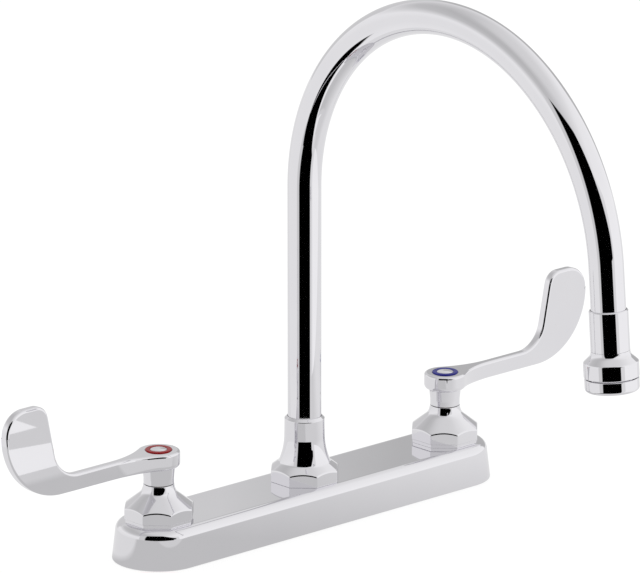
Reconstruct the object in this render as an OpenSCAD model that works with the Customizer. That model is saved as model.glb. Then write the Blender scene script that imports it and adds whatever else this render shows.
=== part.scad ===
// Two-handle kitchen faucet with a swivelling gooseneck spout, for a deck with two holes.
// Hot is at -X, cold at +X, the user stands at -Y. The deck's top is Z = 0, under the spout's axis.

/* [Layout] */
// Distance between the two handle axes
handle_spacing = 203.2; // [190:0.1:240]
// Thickness of the deck that the lock nuts clamp
deck_t = 16; // [6:0.5:22]

/* [Deck cover] */
// Width of the cover at the deck
cover_w = 48.6; // [46:0.1:60]
// Height of the cover above the deck
cover_h = 20.4; // [18:0.1:26]
// Wall of the cover
cover_wall = 1.8; // [1:0.1:2.5]
// Radius of the cover's rounded top edge
cover_edge_r = 5; // [3:0.1:7]
// Draft of the cover's side walls, in degrees
cover_draft = 6.5; // [0:0.5:8]
// Thickness of the gasket inside the cover's rim
gasket_h = 1.8; // [1:0.1:3]

/* [Waterway] */
// Radius of the valve bodies and of the spout socket
barrel_r = 15.5; // [14.5:0.1:17]
// Radius of the threaded necks that reach through the cover
neck_r = 12; // [11.6:0.1:12.4]
// Height of the valve bodies' necks above the cover
valve_neck_h = 7; // [5:0.1:7.4]
// Height of the spout socket's neck above the cover
spout_neck_h = 5.4; // [4.5:0.1:5.8]
// Radius of the cartridge bores
cartridge_bore_r = 9.5; // [9.2:0.1:10]
// Height of the valve seats above the deck
seat_z = 8.6; // [8:0.1:9.4]
// Thickness of the valve seats
seat_t = 1.6; // [1:0.1:2.5]
// Radius of the water passage through each seat
seat_port_r = 4.5; // [3:0.1:5]
// Outer radius of the cross tubes
cross_r = 6; // [5:0.1:6.4]
// Wall of the cross tubes
cross_wall = 1.8; // [1:0.1:2.5]
// Radius of the bore that holds the spout spigot
socket_bore_r = 8; // [7.6:0.1:8.4]
// Floor under the spout socket
socket_floor = 5.2; // [3:0.1:6]

/* [Shanks] */
// Radius of the threaded inlet shanks
shank_r = 10.4; // [9.6:0.1:10.8]
// Radius of the shanks' bore
shank_bore_r = 6.2; // [5:0.1:7]
// Length of the shanks below the deck
shank_l = 58; // [56:1:90]
// Length of the supply thread at each shank's end
supply_l = 25; // [15:0.5:26]
// Width of the groove above the supply thread
relief_w = 1.6; // [1:0.1:3]
// Depth of that groove
relief_d = 0.7; // [0.3:0.1:1.2]
// Radius of the lock washers
washer_r = 20; // [17:0.5:24]
// Thickness of the lock washers
washer_t = 1.6; // [1:0.1:2.5]
// Width of the lock nuts across their flats
nut_flats = 32; // [26:0.5:38]
// Height of the lock nuts
nut_h = 7; // [5:0.1:8]

/* [Bonnets] */
// Half the width across the flats of all three octagonal feet
foot_flats_r = 17.35; // [17:0.05:18.5]
// Height of the seat ring under each side bonnet
ring_h = 1.9; // [1.2:0.1:2.4]
// How far the seat ring stands back from the foot
ring_setback = 0.5; // [0.2:0.1:1]
// Height of the side bonnets' upright foot, at the middle of a flat
foot_h = 6.5; // [5.8:0.1:7]
// Radius of the side bonnets' round neck at its top
bonnet_neck_r = 7.9; // [7.6:0.05:8.2]
// Draft at the top of that neck, in degrees
bonnet_draft = 6; // [4:0.5:8]
// Radius of the hollow in which the neck widens
flare_r = 12; // [10:0.5:13]
// Steepness at which the hollow ends on the straight flare, in degrees from upright
flare_turn = 30; // [27:0.5:33]
// Height of the side bonnets' top above the cover
bonnet_top = 19.4; // [19:0.1:21]

/* [Spout bell] */
// Height of the bell's upright foot
bell_foot_h = 6; // [5:0.1:6.6]
// How much the bell's shoulder narrows for each millimetre of height
bell_shoulder_run = 1.34; // [1.2:0.01:1.5]
// Height where the round neck starts to widen
bell_hollow_z = 24; // [23:0.1:26]
// Radius of the hollow in which the neck widens
bell_hollow_r = 36; // [32:0.5:44]
// Draft of the neck, in degrees
bell_draft = 1.2; // [0.8:0.1:2]
// Height of the bell's rim
bell_h = 33.3; // [31:0.1:36]
// Radius of the bell's rim
bell_rim_r = 10.5; // [10.3:0.05:10.9]
// Height of the chamfer on the rim
bell_chamfer = 1.5; // [0.8:0.1:2]

/* [Spout] */
// Outer radius of the gooseneck tube
tube_r = 8.85; // [8.6:0.05:9]
// Wall of the tube
tube_wall = 1.2; // [0.9:0.05:1.5]
// Height above the cover where the tube starts to bend
riser_top = 158; // [100:1:200]
// Radius of the first bend, at the tube's centre
bend_r = 107.1; // [80:0.1:130]
// Angle of the first bend, in degrees
bend_angle = 120.2; // [110:0.1:125]
// Radius of the second bend, at the tube's centre
tail_r = 117.3; // [80:0.1:140]
// Angle of the second bend, in degrees
tail_angle = 54.9; // [48:0.1:58]
// Length of the straight leg, down to the outlet
leg_l = 61.9; // [58:0.1:90]
// Thickness of the spout's bearing rings
bearing_t = 0.8; // [0.6:0.05:1]
// Outer radius of the bearing rings
bearing_r = 10.6; // [10.4:0.05:10.8]
// Thickness of the spigot's flange
flange_t = 2.3; // [1.8:0.1:2.8]
// How far the spigot reaches into the socket
spigot_down = 7.6; // [7.2:0.1:8]
// How far it reaches into the tube
spigot_up = 11.4; // [8:0.1:16]
// Radius of the water passage in the spigot
spigot_port_r = 4.2; // [3.5:0.1:4.4]
// Thickness of the O-rings' cord
oring_cord = 2.5; // [2.2:0.1:2.6]
// Land between each O-ring and the end of the spigot's fit
oring_land = 1.1; // [0.8:0.1:1.2]

/* [Outlet] */
// Outer radius of the sleeve
sleeve_r = 9.85; // [9.7:0.05:10.4]
// Length of the sleeve
sleeve_l = 20.8; // [15:0.1:24]
// Height of the flare under the sleeve
nozzle_flare_h = 5.2; // [4.6:0.1:7]
// Radius of the nozzle's collar
collar_r = 13.9; // [13.5:0.05:15]
// Height of the collar
collar_h = 8; // [7.6:0.1:11]
// Groove between the collar and the aerator housing
groove_h = 0.4; // [0.2:0.1:0.8]
// Radius of the aerator housing's ring
housing_r = 13.7; // [13.3:0.05:14.6]
// Height of that ring
housing_h = 6.7; // [6:0.1:9]
// Rounding of the housing's lower edge
housing_edge_r = 2; // [1:0.1:2.6]
// Radius of the aerator's socket in the nozzle
aerator_socket_r = 11.2; // [10.8:0.05:11.8]
// Wall of the housing's neck
housing_wall = 1.5; // [1:0.1:1.9]
// Radius of the opening in the housing's lip
outlet_r = 8.8; // [8:0.1:9.1]
// Distance from the tube's end up to the collar's top
tube_stop = 2.2; // [1:0.1:4]
// Thickness of the nozzle's step above the aerator
socket_step = 1; // [0.8:0.1:2]
// Height of the lip that holds the screen
lip_h = 1.9; // [1.2:0.1:2.4]
// Thickness of the aerator's washer
aerator_washer_t = 1.5; // [1:0.1:1.8]
// Height of the flow former
former_h = 5.4; // [4:0.1:6]
// Radius of the flow former's ports
former_port_r = 0.9; // [0.6:0.05:1.2]
// Radius of the ring on which the ports sit
former_ring_r = 6.8; // [5.5:0.1:8]
// Thickness of the outlet screen
screen_t = 0.6; // [0.4:0.1:1]
// Radius of the screen's holes
screen_hole_r = 0.9; // [0.5:0.05:1]
// Spacing of the screen's holes
screen_pitch = 2.6; // [2.2:0.1:3]
// Plain rim round the screen's holes
screen_rim = 0.4; // [0.2:0.1:1]

/* [Handles] */
// Radius of the handle hub
hub_r = 11.1; // [10.6:0.1:12]
// Rounding of the hub's top edge
hub_edge_r = 0.8; // [0.4:0.1:1]
// Height of the handles' top above the cover
handle_top = 37.2; // [36.6:0.1:40]
// Height of the arm's underside above the cover
arm_bottom = 28.4; // [28:0.1:30]
// Radius of the skirt that meets the bonnet
skirt_r = 7.85; // [7.6:0.05:8.2]
// Height where the skirt starts to widen to the hub
skirt_top = 21.2; // [20.8:0.1:23]
// Thickness of the arm and of the blade
blade_t = 5; // [4:0.1:7]
// Radius of the plan's hollow between hub and arm
arm_flare_r = 50; // [20:1:60]
// Distance from the hub's axis to the blade's tip
blade_reach = 103.2; // [95:0.1:120]
// Height of the blade's top above the cover
blade_top = 77.5; // [70:0.1:90]
// Radius of the blade's outer lower edge
heel_r = 36.2; // [33:0.1:37]
// Radius of the blade's outer upper corner
tip_r = 12.9; // [8:0.1:14]
// Radius of the blade's inner upper corner
corner_r = 4; // [2:0.1:6]
// Radius of the inner bend between arm and blade
crook_r = 16; // [12:0.1:18]
// Width of the blade across its upper corners
blade_w = 27; // [24:0.1:30]
// Lean of the blade's inner edge, in degrees
blade_lean = 11.6; // [8:0.1:14]

/* [Valve parts] */
// Radius of the valve stems
stem_r = 5; // [4.7:0.05:5.2]
// Length of the splined end of each stem
spline_l = 8.5; // [6:0.1:9.5]
// Side of the three squares that make the spline
spline_w = 6; // [5.4:0.1:6.3]
// Height of the cartridge body
cartridge_h = 15.8; // [15.2:0.1:16.2]
// Wall of the cartridge body round its discs
cartridge_wall = 1.1; // [0.8:0.1:1.2]
// Thickness of the seat seals
seal_t = 1.6; // [1.2:0.1:2]
// Thickness of each ceramic disc
disc_t = 3; // [2.4:0.1:3.2]
// Radius of the ceramic discs' ports
disc_port_r = 1.9; // [1.4:0.1:2.2]
// Rim outside the discs' ports
disc_rim = 1.2; // [0.8:0.1:1.6]
// Thickness of the stem's foot
stem_foot_t = 2.8; // [2:0.1:3]
// Width of the tongue that turns the rotor disc
tongue_w = 3; // [2:0.1:4]
// Height of the tongue
tongue_h = 1.2; // [0.8:0.1:1.6]
// Width of the cartridge nut's hexagon across its flats
cartridge_hex = 14; // [13:0.1:15]
// Height of that hexagon
cartridge_hex_h = 1.6; // [1:0.1:1.8]

/* [Index and screw] */
// Outer radius of the coloured index ring
index_r = 7; // [6.6:0.05:7.4]
// Inner radius of the index ring
index_inner_r = 4.1; // [3.8:0.05:4.6]
// Depth of the recess that holds the index
index_depth = 2.4; // [2:0.1:3]
// How far the index ring stands above the hub
index_proud = 0.6; // [0.2:0.1:1]
// Thickness of the cap's flange under the ring
cap_flange_t = 0.8; // [0.5:0.1:1.2]
// Height of the cap's dome above the ring
dome_h = 0.6; // [0.3:0.1:1]
// Radius of the handle screw's head
screw_head_r = 3.8; // [3.2:0.1:4]
// Height of the screw's head
screw_head_h = 2.6; // [1.8:0.1:2.8]
// Width of the cross slots in the head
screw_slot_w = 0.9; // [0.6:0.1:1.2]
// Radius of the screw's thread
screw_r = 2; // [1.5:0.1:2.3]
// Length of the thread
screw_l = 9; // [7:0.1:11]
// Web of the hub under the screw's head
web_t = 2.4; // [1.6:0.1:3]

/* [Clearances] */
// Gap between threads and between screwed pieces
thread_gap = 0.1; // [0.05:0.01:0.2]
// Gap at the turning fits: stems, spigot, tube and bearing rings
running_gap = 0.06; // [0.02:0.01:0.1]
// Gap between each handle's skirt and its bonnet
seam_gap = 0.3; // [0.2:0.05:0.5]
// Gap round pieces that sit loosely in a cavity
loose_gap = 0.3; // [0.2:0.05:0.5]

/* [Hidden] */
$fn = 96;
// Overshoot of a cutting shape past the face that it cuts
cut = 1;
// Half the angle of one octagon side
oct_half = 22.5;
// Half the angle of one hexagon side
hex_half = 30;
// Step where the tube's stretches join
joint_step = 0.02;
// Overlap where they join
joint_lap = 0.4;

// Deck cover: where its rounded edge is centred, and the line of its drafted side
edge_z = cover_h - cover_edge_r;
edge_x = cover_w / 2 - cover_edge_r * cos(cover_draft)
    - (edge_z + cover_edge_r * sin(cover_draft)) * tan(cover_draft);
cover_under = cover_h - cover_wall;
neck_hole_r = neck_r + loose_gap;

// Valve bodies: from the shank's seat up
shank_seat_z = seat_z - seat_t;
cross_z = cover_under - cross_r - cross_wall / 2;
valve_neck_z = cover_h + valve_neck_h;
spout_neck_z = cover_h + spout_neck_h;

// Valve parts, from the seat up
disc_r = cartridge_bore_r - thread_gap - cartridge_wall - loose_gap;
fixed_disc_z = seat_z + seal_t;
rotor_z = fixed_disc_z + disc_t + running_gap;
foot_z = rotor_z + disc_t + running_gap;
foot_top = foot_z + stem_foot_t;
cartridge_top = seat_z + cartridge_h;
disc_port_x = disc_r - disc_port_r - disc_rim;
nut_round_h = valve_neck_z - cartridge_top;
hex_top_z = valve_neck_z + cartridge_hex_h;

// Handles: places above the deck
handle_z = cover_h + handle_top;
skirt_z = cover_h + bonnet_top + seam_gap;
recess_z = handle_z - index_depth;
web_z = recess_z - loose_gap - screw_head_h - web_t;
spline_top = web_z - loose_gap;
spline_z = spline_top - spline_l;

// Bell: its foot's corners, the hollow that widens its neck, and the slope of its flats
foot_corner_r = foot_flats_r / cos(oct_half);
hollow_x = bell_rim_r + (bell_h - bell_hollow_z) * tan(bell_draft);
hollow_cx = hollow_x + bell_hollow_r * cos(bell_draft);
hollow_cz = bell_hollow_z + bell_hollow_r * sin(bell_draft);

// Spout, in the plane of its bends: x is the reach
riser_z = cover_h + riser_top;
bend_end = 180 - bend_angle;
lean = bend_end - tail_angle;
tail_x = bend_r + (bend_r - tail_r) * cos(bend_end);
tail_z = riser_z + (bend_r - tail_r) * sin(bend_end);
leg_x = tail_x + tail_r * cos(lean);
leg_z = tail_z + tail_r * sin(lean);
lower_bearing_z = spout_neck_z;
flange_z = lower_bearing_z + bearing_t + running_gap;
tube_z = flange_z + flange_t;
upper_bearing_z = tube_z + running_gap;
bell_seat_z = upper_bearing_z + bearing_t;
spigot_r = socket_bore_r - running_gap;
oring_r = spigot_r - oring_cord / 2;
oring_gap = 0.03;
oring_z = [flange_z - spigot_down + oring_land + oring_cord / 2, flange_z - oring_land - oring_cord / 2];

// Outlet, measured down the leg from the top of the sleeve
outlet_l = sleeve_l + nozzle_flare_h + collar_h + groove_h + housing_h;
nozzle_t = sleeve_l;
collar_t = nozzle_t + nozzle_flare_h;
collar_end = collar_t + collar_h;
housing_t = collar_end + groove_h;
outlet_end = housing_t + housing_h;
tube_end = collar_t - tube_stop;
socket_t = collar_t + socket_step;
housing_neck_t = socket_t + aerator_washer_t;
housing_bore_r = aerator_socket_r - thread_gap - housing_wall;
screen_end = outlet_end - lip_h;
former_t = housing_neck_t + loose_gap;

// Blade outline: places along the arm, measured from the hub's axis
tip_x = blade_reach - tip_r;
tip_z = blade_top - tip_r;
heel_x = blade_reach - heel_r;
crook_z = handle_top + crook_r;
corner_z = blade_top - corner_r;
corner_x = blade_reach - blade_w + corner_r;
crook_x = corner_x - (corner_r + crook_r) / cos(blade_lean) - (corner_z - crook_z) * tan(blade_lean);

// Places a piece on the hot or the cold valve's axis; the cold side is the hot one's mirror image
module on_hot() {
    translate([-handle_spacing / 2, 0, 0]) children();
}

module on_cold() {
    mirror([1, 0, 0]) on_hot() children();
}

module tube(r, bore, z0, z1) {
    translate([0, 0, z0]) difference() {
        cylinder(r = r, h = z1 - z0);
        translate([0, 0, -cut]) cylinder(r = bore, h = z1 - z0 + 2 * cut);
    }
}

module octagon(flats_r, z0, z1) {
    translate([0, 0, z0]) rotate(oct_half) cylinder(r = flats_r / cos(oct_half), h = z1 - z0, $fn = 8);
}

module hexagon(flats, z0, z1) {
    translate([0, 0, z0]) cylinder(r = flats / 2 / cos(hex_half), h = z1 - z0, $fn = 6);
}

// Half section of the cover's outside, or of its inside when it is inset by the wall
module cover_half(inset) {
    r = cover_edge_r - inset;
    side = cover_w / 2 - inset / cos(cover_draft);
    low = inset > 0 ? -cut : 0;
    polygon([
        [0, low], [side - low * tan(cover_draft), low],
        [edge_x + r * cos(cover_draft), edge_z + r * sin(cover_draft)],
        [edge_x, edge_z + r], [0, edge_z + r]
    ]);
    intersection() {
        translate([edge_x, edge_z]) circle(r);
        translate([edge_x - cut, edge_z]) square(cover_edge_r + cut);
    }
}

module cover_form(inset) {
    for (s = [-1, 1]) translate([s * handle_spacing / 2, 0, 0]) rotate(-90 * s)
        rotate_extrude(angle = 180) cover_half(inset);
    rotate([90, 0, 90]) linear_extrude(handle_spacing, center = true) {
        cover_half(inset);
        mirror([1, 0]) cover_half(inset);
    }
}

module deck_cover() {
    color("#c9cbce") difference() {
        cover_form(0);
        cover_form(cover_wall);
        for (x = [-1, 0, 1]) translate([x * handle_spacing / 2, 0, cover_under - cut])
            cylinder(r = neck_hole_r, h = cover_wall + 2 * cut);
    }
}

module deck_gasket() {
    r = cover_w / 2 - cover_wall / cos(cover_draft) - gasket_h * tan(cover_draft) - loose_gap;
    color("#2b2b2d") difference() {
        linear_extrude(gasket_h) {
            square([handle_spacing, 2 * r], center = true);
            for (x = [-1, 1]) translate([x * handle_spacing / 2, 0]) circle(r);
        }
        for (x = [-1, 1]) translate([x * handle_spacing / 2, 0, -cut])
            cylinder(r = shank_r + loose_gap, h = gasket_h + 2 * cut);
    }
}

// Brass casting that joins both valve bodies to the spout's socket
module waterway() {
    color("#c2a15a") difference() {
        union() {
            for (x = [-1, 0, 1]) translate([x * handle_spacing / 2, 0, gasket_h])
                cylinder(r = barrel_r, h = cover_under - gasket_h);
            for (x = [-1, 1]) translate([x * handle_spacing / 2, 0, gasket_h])
                cylinder(r = neck_r, h = valve_neck_z - gasket_h);
            translate([0, 0, gasket_h]) cylinder(r = neck_r, h = spout_neck_z - gasket_h);
            translate([0, 0, cross_z]) rotate([0, 90, 0])
                cylinder(r = cross_r, h = handle_spacing, center = true);
        }
        for (x = [-1, 1]) translate([x * handle_spacing / 2, 0, 0]) {
            translate([0, 0, seat_z]) cylinder(r = cartridge_bore_r, h = valve_neck_z);
            translate([0, 0, gasket_h]) cylinder(r = seat_port_r, h = seat_z);
            translate([0, 0, gasket_h - cut])
                cylinder(r = shank_r + thread_gap, h = shank_seat_z - gasket_h + cut);
        }
        translate([0, 0, gasket_h + socket_floor]) cylinder(r = socket_bore_r, h = spout_neck_z);
        translate([0, 0, cross_z]) rotate([0, 90, 0])
            cylinder(r = cross_r - cross_wall, h = handle_spacing, center = true);
    }
}

// Threaded inlet tube, drawn at its thread's outer radius
module shank() {
    color("#c2a15a") difference() {
        tube(shank_r, shank_bore_r, -shank_l, shank_seat_z);
        translate([0, 0, supply_l - shank_l]) tube(shank_r + cut, shank_r - relief_d, 0, relief_w);
    }
}

module lock_washers() {
    color("#aeb2b5") for (x = [-1, 1]) translate([x * handle_spacing / 2, 0, 0])
        tube(washer_r, shank_r + loose_gap, -deck_t - washer_t, -deck_t);
}

module lock_nuts() {
    top = -deck_t - washer_t;
    color("#b9994f") for (x = [-1, 1]) translate([x * handle_spacing / 2, 0, 0]) difference() {
        hexagon(nut_flats, top - nut_h, top);
        translate([0, 0, top - nut_h - cut]) cylinder(r = shank_r + thread_gap, h = nut_h + 2 * cut);
    }
}

module bonnet_ring() {
    color("#b9bbbe") difference() {
        octagon(foot_flats_r - ring_setback, cover_h, cover_h + ring_h);
        translate([0, 0, cover_h - cut]) cylinder(r = neck_hole_r, h = ring_h + 2 * cut);
    }
}

// Half section of a side bonnet as it is turned, before its foot is cut to eight flats
module bonnet_half() {
    flare_z = ring_h + foot_h;
    in_x = bonnet_neck_r + flare_r * cos(bonnet_draft);
    in_z = bonnet_top + flare_r * sin(bonnet_draft);
    turn_x = in_x - flare_r * cos(flare_turn);
    turn_z = in_z - flare_r * sin(flare_turn);
    fall = (turn_z - flare_z) / (foot_flats_r - turn_x);
    out_x = foot_corner_r + ring_setback;
    polygon([
        [0, 0], [out_x, 0], [out_x, flare_z - (out_x - foot_flats_r) * fall], [turn_x, turn_z],
        [0, turn_z]
    ]);
    difference() {
        polygon([
            [0, 0], [turn_x, 0], [turn_x, turn_z], [in_x, turn_z], [in_x, bonnet_top],
            [0, bonnet_top]
        ]);
        translate([in_x, in_z]) circle(flare_r);
    }
}

module bonnet() {
    color("#cdcfd2") difference() {
        translate([0, 0, cover_h]) intersection() {
            octagon(foot_flats_r, ring_h, bonnet_top + cut);
            rotate_extrude() bonnet_half();
        }
        translate([0, 0, cover_h]) cylinder(r = neck_r + thread_gap, h = valve_neck_h + loose_gap);
        translate([0, 0, cover_h])
            cylinder(r = cartridge_hex / 2 / cos(hex_half) + loose_gap, h = hex_top_z - cover_h + loose_gap);
        translate([0, 0, cover_h]) cylinder(r = stem_r + loose_gap, h = bonnet_top + cut);
    }
}

// Half section of the bell's round neck, which widens downward along the hollow
module bell_neck_half() {
    top = bell_h + bell_chamfer;
    difference() {
        polygon([
            [0, 0], [hollow_cx, 0], [hollow_cx, hollow_cz], [hollow_x, bell_hollow_z],
            [bell_rim_r, bell_h], [tube_r + running_gap / 2, top], [0, top]
        ]);
        translate([hollow_cx, hollow_cz]) circle(bell_hollow_r);
    }
}

// Octagonal foot with a round shoulder, and a round neck that widens down to it
module spout_bell() {
    shoulder_end = bell_foot_h + (foot_corner_r - tube_r) / bell_shoulder_run;
    shoulder_r = tube_r + (shoulder_end + cut) * bell_shoulder_run;
    color("#cdcfd2") translate([0, 0, cover_h]) difference() {
        intersection() {
            octagon(foot_flats_r, 0, bell_h + bell_chamfer + cut);
            union() {
                translate([0, 0, -cut]) cylinder(r1 = shoulder_r, r2 = tube_r, h = shoulder_end + cut);
                rotate_extrude() bell_neck_half();
            }
        }
        translate([0, 0, -cut]) cylinder(r = neck_r + thread_gap, h = spout_neck_h + cut);
        cylinder(r = bearing_r + thread_gap, h = bell_seat_z - cover_h);
        cylinder(r = tube_r + running_gap, h = bell_h + bell_chamfer + cut);
    }
}

module spout_bearings() {
    color("#e8e6df") for (z = [lower_bearing_z, upper_bearing_z])
        tube(bearing_r, tube_r + running_gap, z, z + bearing_t);
}

// Sleeve that holds the discs and guides the stem, with a window on each side for the water
module cartridge() {
    window_w = 2 * (cross_r - cross_wall);
    color("#b9994f") difference() {
        translate([0, 0, seat_z]) cylinder(r = cartridge_bore_r - thread_gap, h = cartridge_h);
        translate([0, 0, seat_z - cut])
            cylinder(r = disc_r + loose_gap, h = foot_top + loose_gap - seat_z + cut);
        translate([0, 0, seat_z]) cylinder(r = stem_r + running_gap, h = cartridge_h + cut);
        translate([-barrel_r, -window_w / 2, rotor_z]) cube([2 * barrel_r, window_w, disc_t]);
    }
}

module cartridge_nut() {
    color("#b9994f") difference() {
        union() {
            translate([0, 0, cartridge_top]) cylinder(r = cartridge_bore_r - thread_gap, h = nut_round_h);
            hexagon(cartridge_hex, valve_neck_z, hex_top_z);
        }
        translate([0, 0, cartridge_top - cut]) cylinder(r = stem_r + loose_gap, h = cartridge_h);
    }
}

module seat_seal() {
    color("#26262a") tube(disc_r, seat_port_r, seat_z, fixed_disc_z);
}

module ceramic_disc(z) {
    translate([0, 0, z]) difference() {
        cylinder(r = disc_r, h = disc_t);
        for (s = [-1, 1]) translate([s * disc_port_x, 0, -cut])
            cylinder(r = disc_port_r, h = disc_t + 2 * cut);
    }
}

module fixed_disc() {
    color("#f0eee6") ceramic_disc(fixed_disc_z);
}

// The rotor disc's slot takes the tongue under the stem's foot
module rotor_disc() {
    slot_w = tongue_w + 2 * thread_gap;
    slot_h = tongue_h + thread_gap;
    color("#f0eee6") difference() {
        rotate(90) ceramic_disc(rotor_z);
        translate([-barrel_r, -slot_w / 2, rotor_z + disc_t - slot_h])
            cube([2 * barrel_r, slot_w, slot_h + cut]);
    }
}

module spline(w, z0, z1) {
    for (a = [0, 30, 60]) rotate(a) translate([-w / 2, -w / 2, z0]) cube([w, w, z1 - z0]);
}

module stem() {
    color("#c2a15a") difference() {
        union() {
            translate([0, 0, foot_z]) cylinder(r = disc_r, h = stem_foot_t);
            translate([0, 0, foot_z]) cylinder(r = stem_r, h = spline_z - foot_z);
            spline(spline_w, spline_z, spline_top);
            intersection() {
                translate([-barrel_r, -tongue_w / 2, foot_z - tongue_h])
                    cube([2 * barrel_r, tongue_w, tongue_h]);
                translate([0, 0, foot_z - tongue_h]) cylinder(r = disc_r, h = tongue_h + cut);
            }
        }
        translate([0, 0, web_z + web_t - screw_l - cut])
            cylinder(r = screw_r + running_gap, h = screw_l + cut);
    }
}

// Outline of the arm and blade seen from the front, with the hub's axis at x = 0
module lever_outline() {
    difference() {
        union() {
            translate([0, arm_bottom]) square([heel_x, handle_top - arm_bottom]);
            intersection() {
                translate([heel_x, arm_bottom + heel_r]) circle(heel_r);
                square([blade_reach, tip_z]);
            }
            polygon([
                [crook_x, handle_top], [blade_reach - heel_r / 2, handle_top], [blade_reach - tip_r, tip_z],
                [tip_x, blade_top], [corner_x, blade_top], [corner_x, corner_z],
                [corner_x - corner_r * cos(blade_lean), corner_z + corner_r * sin(blade_lean)],
                [crook_x + crook_r * cos(blade_lean), crook_z - crook_r * sin(blade_lean)]
            ]);
            translate([tip_x, tip_z]) circle(tip_r);
            translate([corner_x, corner_z]) circle(corner_r);
        }
        translate([crook_x, crook_z]) circle(crook_r);
        polygon([
            [0, handle_top], [crook_x, handle_top],
            [crook_x, crook_z], [crook_x + crook_r * cos(blade_lean), crook_z - crook_r * sin(blade_lean)],
            [corner_x - corner_r * cos(blade_lean), corner_z + corner_r * sin(blade_lean)],
            [corner_x - corner_r * cos(blade_lean), blade_top + cut], [0, blade_top + cut]
        ]);
    }
}

// The arm seen from above: it widens into the hub along two hollow arcs
module lever_plan() {
    flare_x = sqrt(pow(hub_r + arm_flare_r, 2) - pow(blade_t / 2 + arm_flare_r, 2));
    share = hub_r / (hub_r + arm_flare_r);
    difference() {
        translate([0, -(blade_t / 2 + arm_flare_r) * share])
            square([flare_x, 2 * (blade_t / 2 + arm_flare_r) * share]);
        for (s = [-1, 1]) translate([flare_x, s * (blade_t / 2 + arm_flare_r)]) circle(arm_flare_r);
    }
    translate([flare_x - cut, -blade_t / 2]) square([blade_reach, blade_t]);
}

// Cast lever with its hub, drawn for the hot side: the blade points to -X
module handle() {
    color("#cdcfd2") difference() {
        union() {
            translate([0, 0, cover_h]) mirror([1, 0, 0]) intersection() {
                rotate([90, 0, 0]) linear_extrude(4 * hub_r, center = true) lever_outline();
                linear_extrude(blade_top + cut) lever_plan();
            }
            translate([0, 0, cover_h]) rotate_extrude() {
                polygon([
                    [0, skirt_z - cover_h], [skirt_r, skirt_z - cover_h], [skirt_r, skirt_top],
                    [hub_r, arm_bottom], [hub_r, handle_top - hub_edge_r], [hub_r - hub_edge_r, handle_top],
                    [0, handle_top]
                ]);
                intersection() {
                    translate([hub_r - hub_edge_r, handle_top - hub_edge_r]) circle(hub_edge_r);
                    translate([0, skirt_top]) square([2 * hub_r, handle_top]);
                }
            }
        }
        translate([0, 0, skirt_z - cut])
            cylinder(r = stem_r + thread_gap, h = spline_z + loose_gap - skirt_z + cut);
        spline(spline_w + 2 * thread_gap, skirt_z, web_z);
        translate([0, 0, web_z - cut]) cylinder(r = screw_r + thread_gap, h = web_t + 2 * cut);
        translate([0, 0, web_z + web_t]) cylinder(r = screw_head_r + loose_gap, h = handle_z);
        translate([0, 0, recess_z]) cylinder(r = index_r + thread_gap, h = index_depth + cut);
    }
}

module handle_screw() {
    head_z = web_z + web_t;
    color("#9ea3a7") difference() {
        union() {
            translate([0, 0, head_z]) cylinder(r = screw_head_r, h = screw_head_h);
            translate([0, 0, head_z - screw_l]) cylinder(r = screw_r, h = screw_l);
        }
        for (a = [0, 90]) rotate(a) translate([-screw_r, -screw_slot_w / 2, head_z + screw_head_h / 2])
            cube([2 * screw_r, screw_slot_w, screw_head_h]);
    }
}

module index_ring(shade) {
    color(shade) tube(index_r, index_inner_r, recess_z + cap_flange_t, handle_z + index_proud);
}

module index_cap() {
    r = index_inner_r - running_gap;
    top = handle_z + index_proud;
    dome_r = (r * r + dome_h * dome_h) / (2 * dome_h);
    color("#e6e7ea") {
        translate([0, 0, recess_z]) cylinder(r = index_r, h = cap_flange_t);
        translate([0, 0, recess_z]) cylinder(r = r, h = top - recess_z);
        intersection() {
            translate([0, 0, top + dome_h - dome_r]) sphere(dome_r);
            translate([0, 0, top - cut]) cylinder(r = r, h = dome_h + 2 * cut);
        }
    }
}

// Turns a piece drawn in the X-Z plane so that it points at the user
module at_spout() {
    rotate(-90) children();
}

// The outlet's frame: z runs down the leg from the top of the sleeve
module at_outlet() {
    s = leg_l - outlet_l;
    at_spout() translate([leg_x + s * sin(lean), 0, leg_z - s * cos(lean)])
        rotate([0, 180 - lean, 0]) children();
}

// The gooseneck's wall, in four stretches. Every second one is thinner by the joint's step on both
// sides, and its ends reach into its neighbours' walls.
module neck_ring(step) {
    difference() {
        circle(tube_r - step);
        circle(tube_r - tube_wall + step);
    }
}

module neck_bend(r, from, to, step) {
    rotate([90, 0, 0]) rotate(from) rotate_extrude(angle = to - from) translate([r, 0]) neck_ring(step);
}

module spout_tube() {
    lap_angle = joint_lap / bend_r * 180 / PI;
    leg_end = leg_l - outlet_l + tube_end;
    color("#cdcfd2") at_spout() {
        translate([0, 0, tube_z]) linear_extrude(riser_z - tube_z) neck_ring(0);
        translate([bend_r, 0, riser_z]) neck_bend(bend_r, bend_end - lap_angle, 180 + lap_angle, joint_step);
        translate([tail_x, 0, tail_z]) neck_bend(tail_r, lean, bend_end, 0);
        translate([leg_x, 0, leg_z]) rotate([0, 180 - lean, 0]) translate([0, 0, -joint_lap])
            linear_extrude(leg_end + joint_lap) neck_ring(joint_step);
    }
}

module spout_spigot() {
    groove_r = oring_r - oring_cord / 2 - oring_gap;
    groove_w = oring_cord + 2 * thread_gap;
    color("#c2a15a") difference() {
        union() {
            translate([0, 0, flange_z - spigot_down]) cylinder(r = spigot_r, h = spigot_down);
            translate([0, 0, flange_z]) cylinder(r = bearing_r, h = flange_t);
            translate([0, 0, tube_z]) cylinder(r = tube_r - tube_wall - thread_gap, h = spigot_up);
        }
        translate([0, 0, flange_z - spigot_down - cut])
            cylinder(r = spigot_port_r, h = spigot_down + flange_t + spigot_up + 2 * cut);
        for (z = oring_z) tube(spigot_r + cut, groove_r, z - groove_w / 2, z + groove_w / 2);
    }
}

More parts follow.
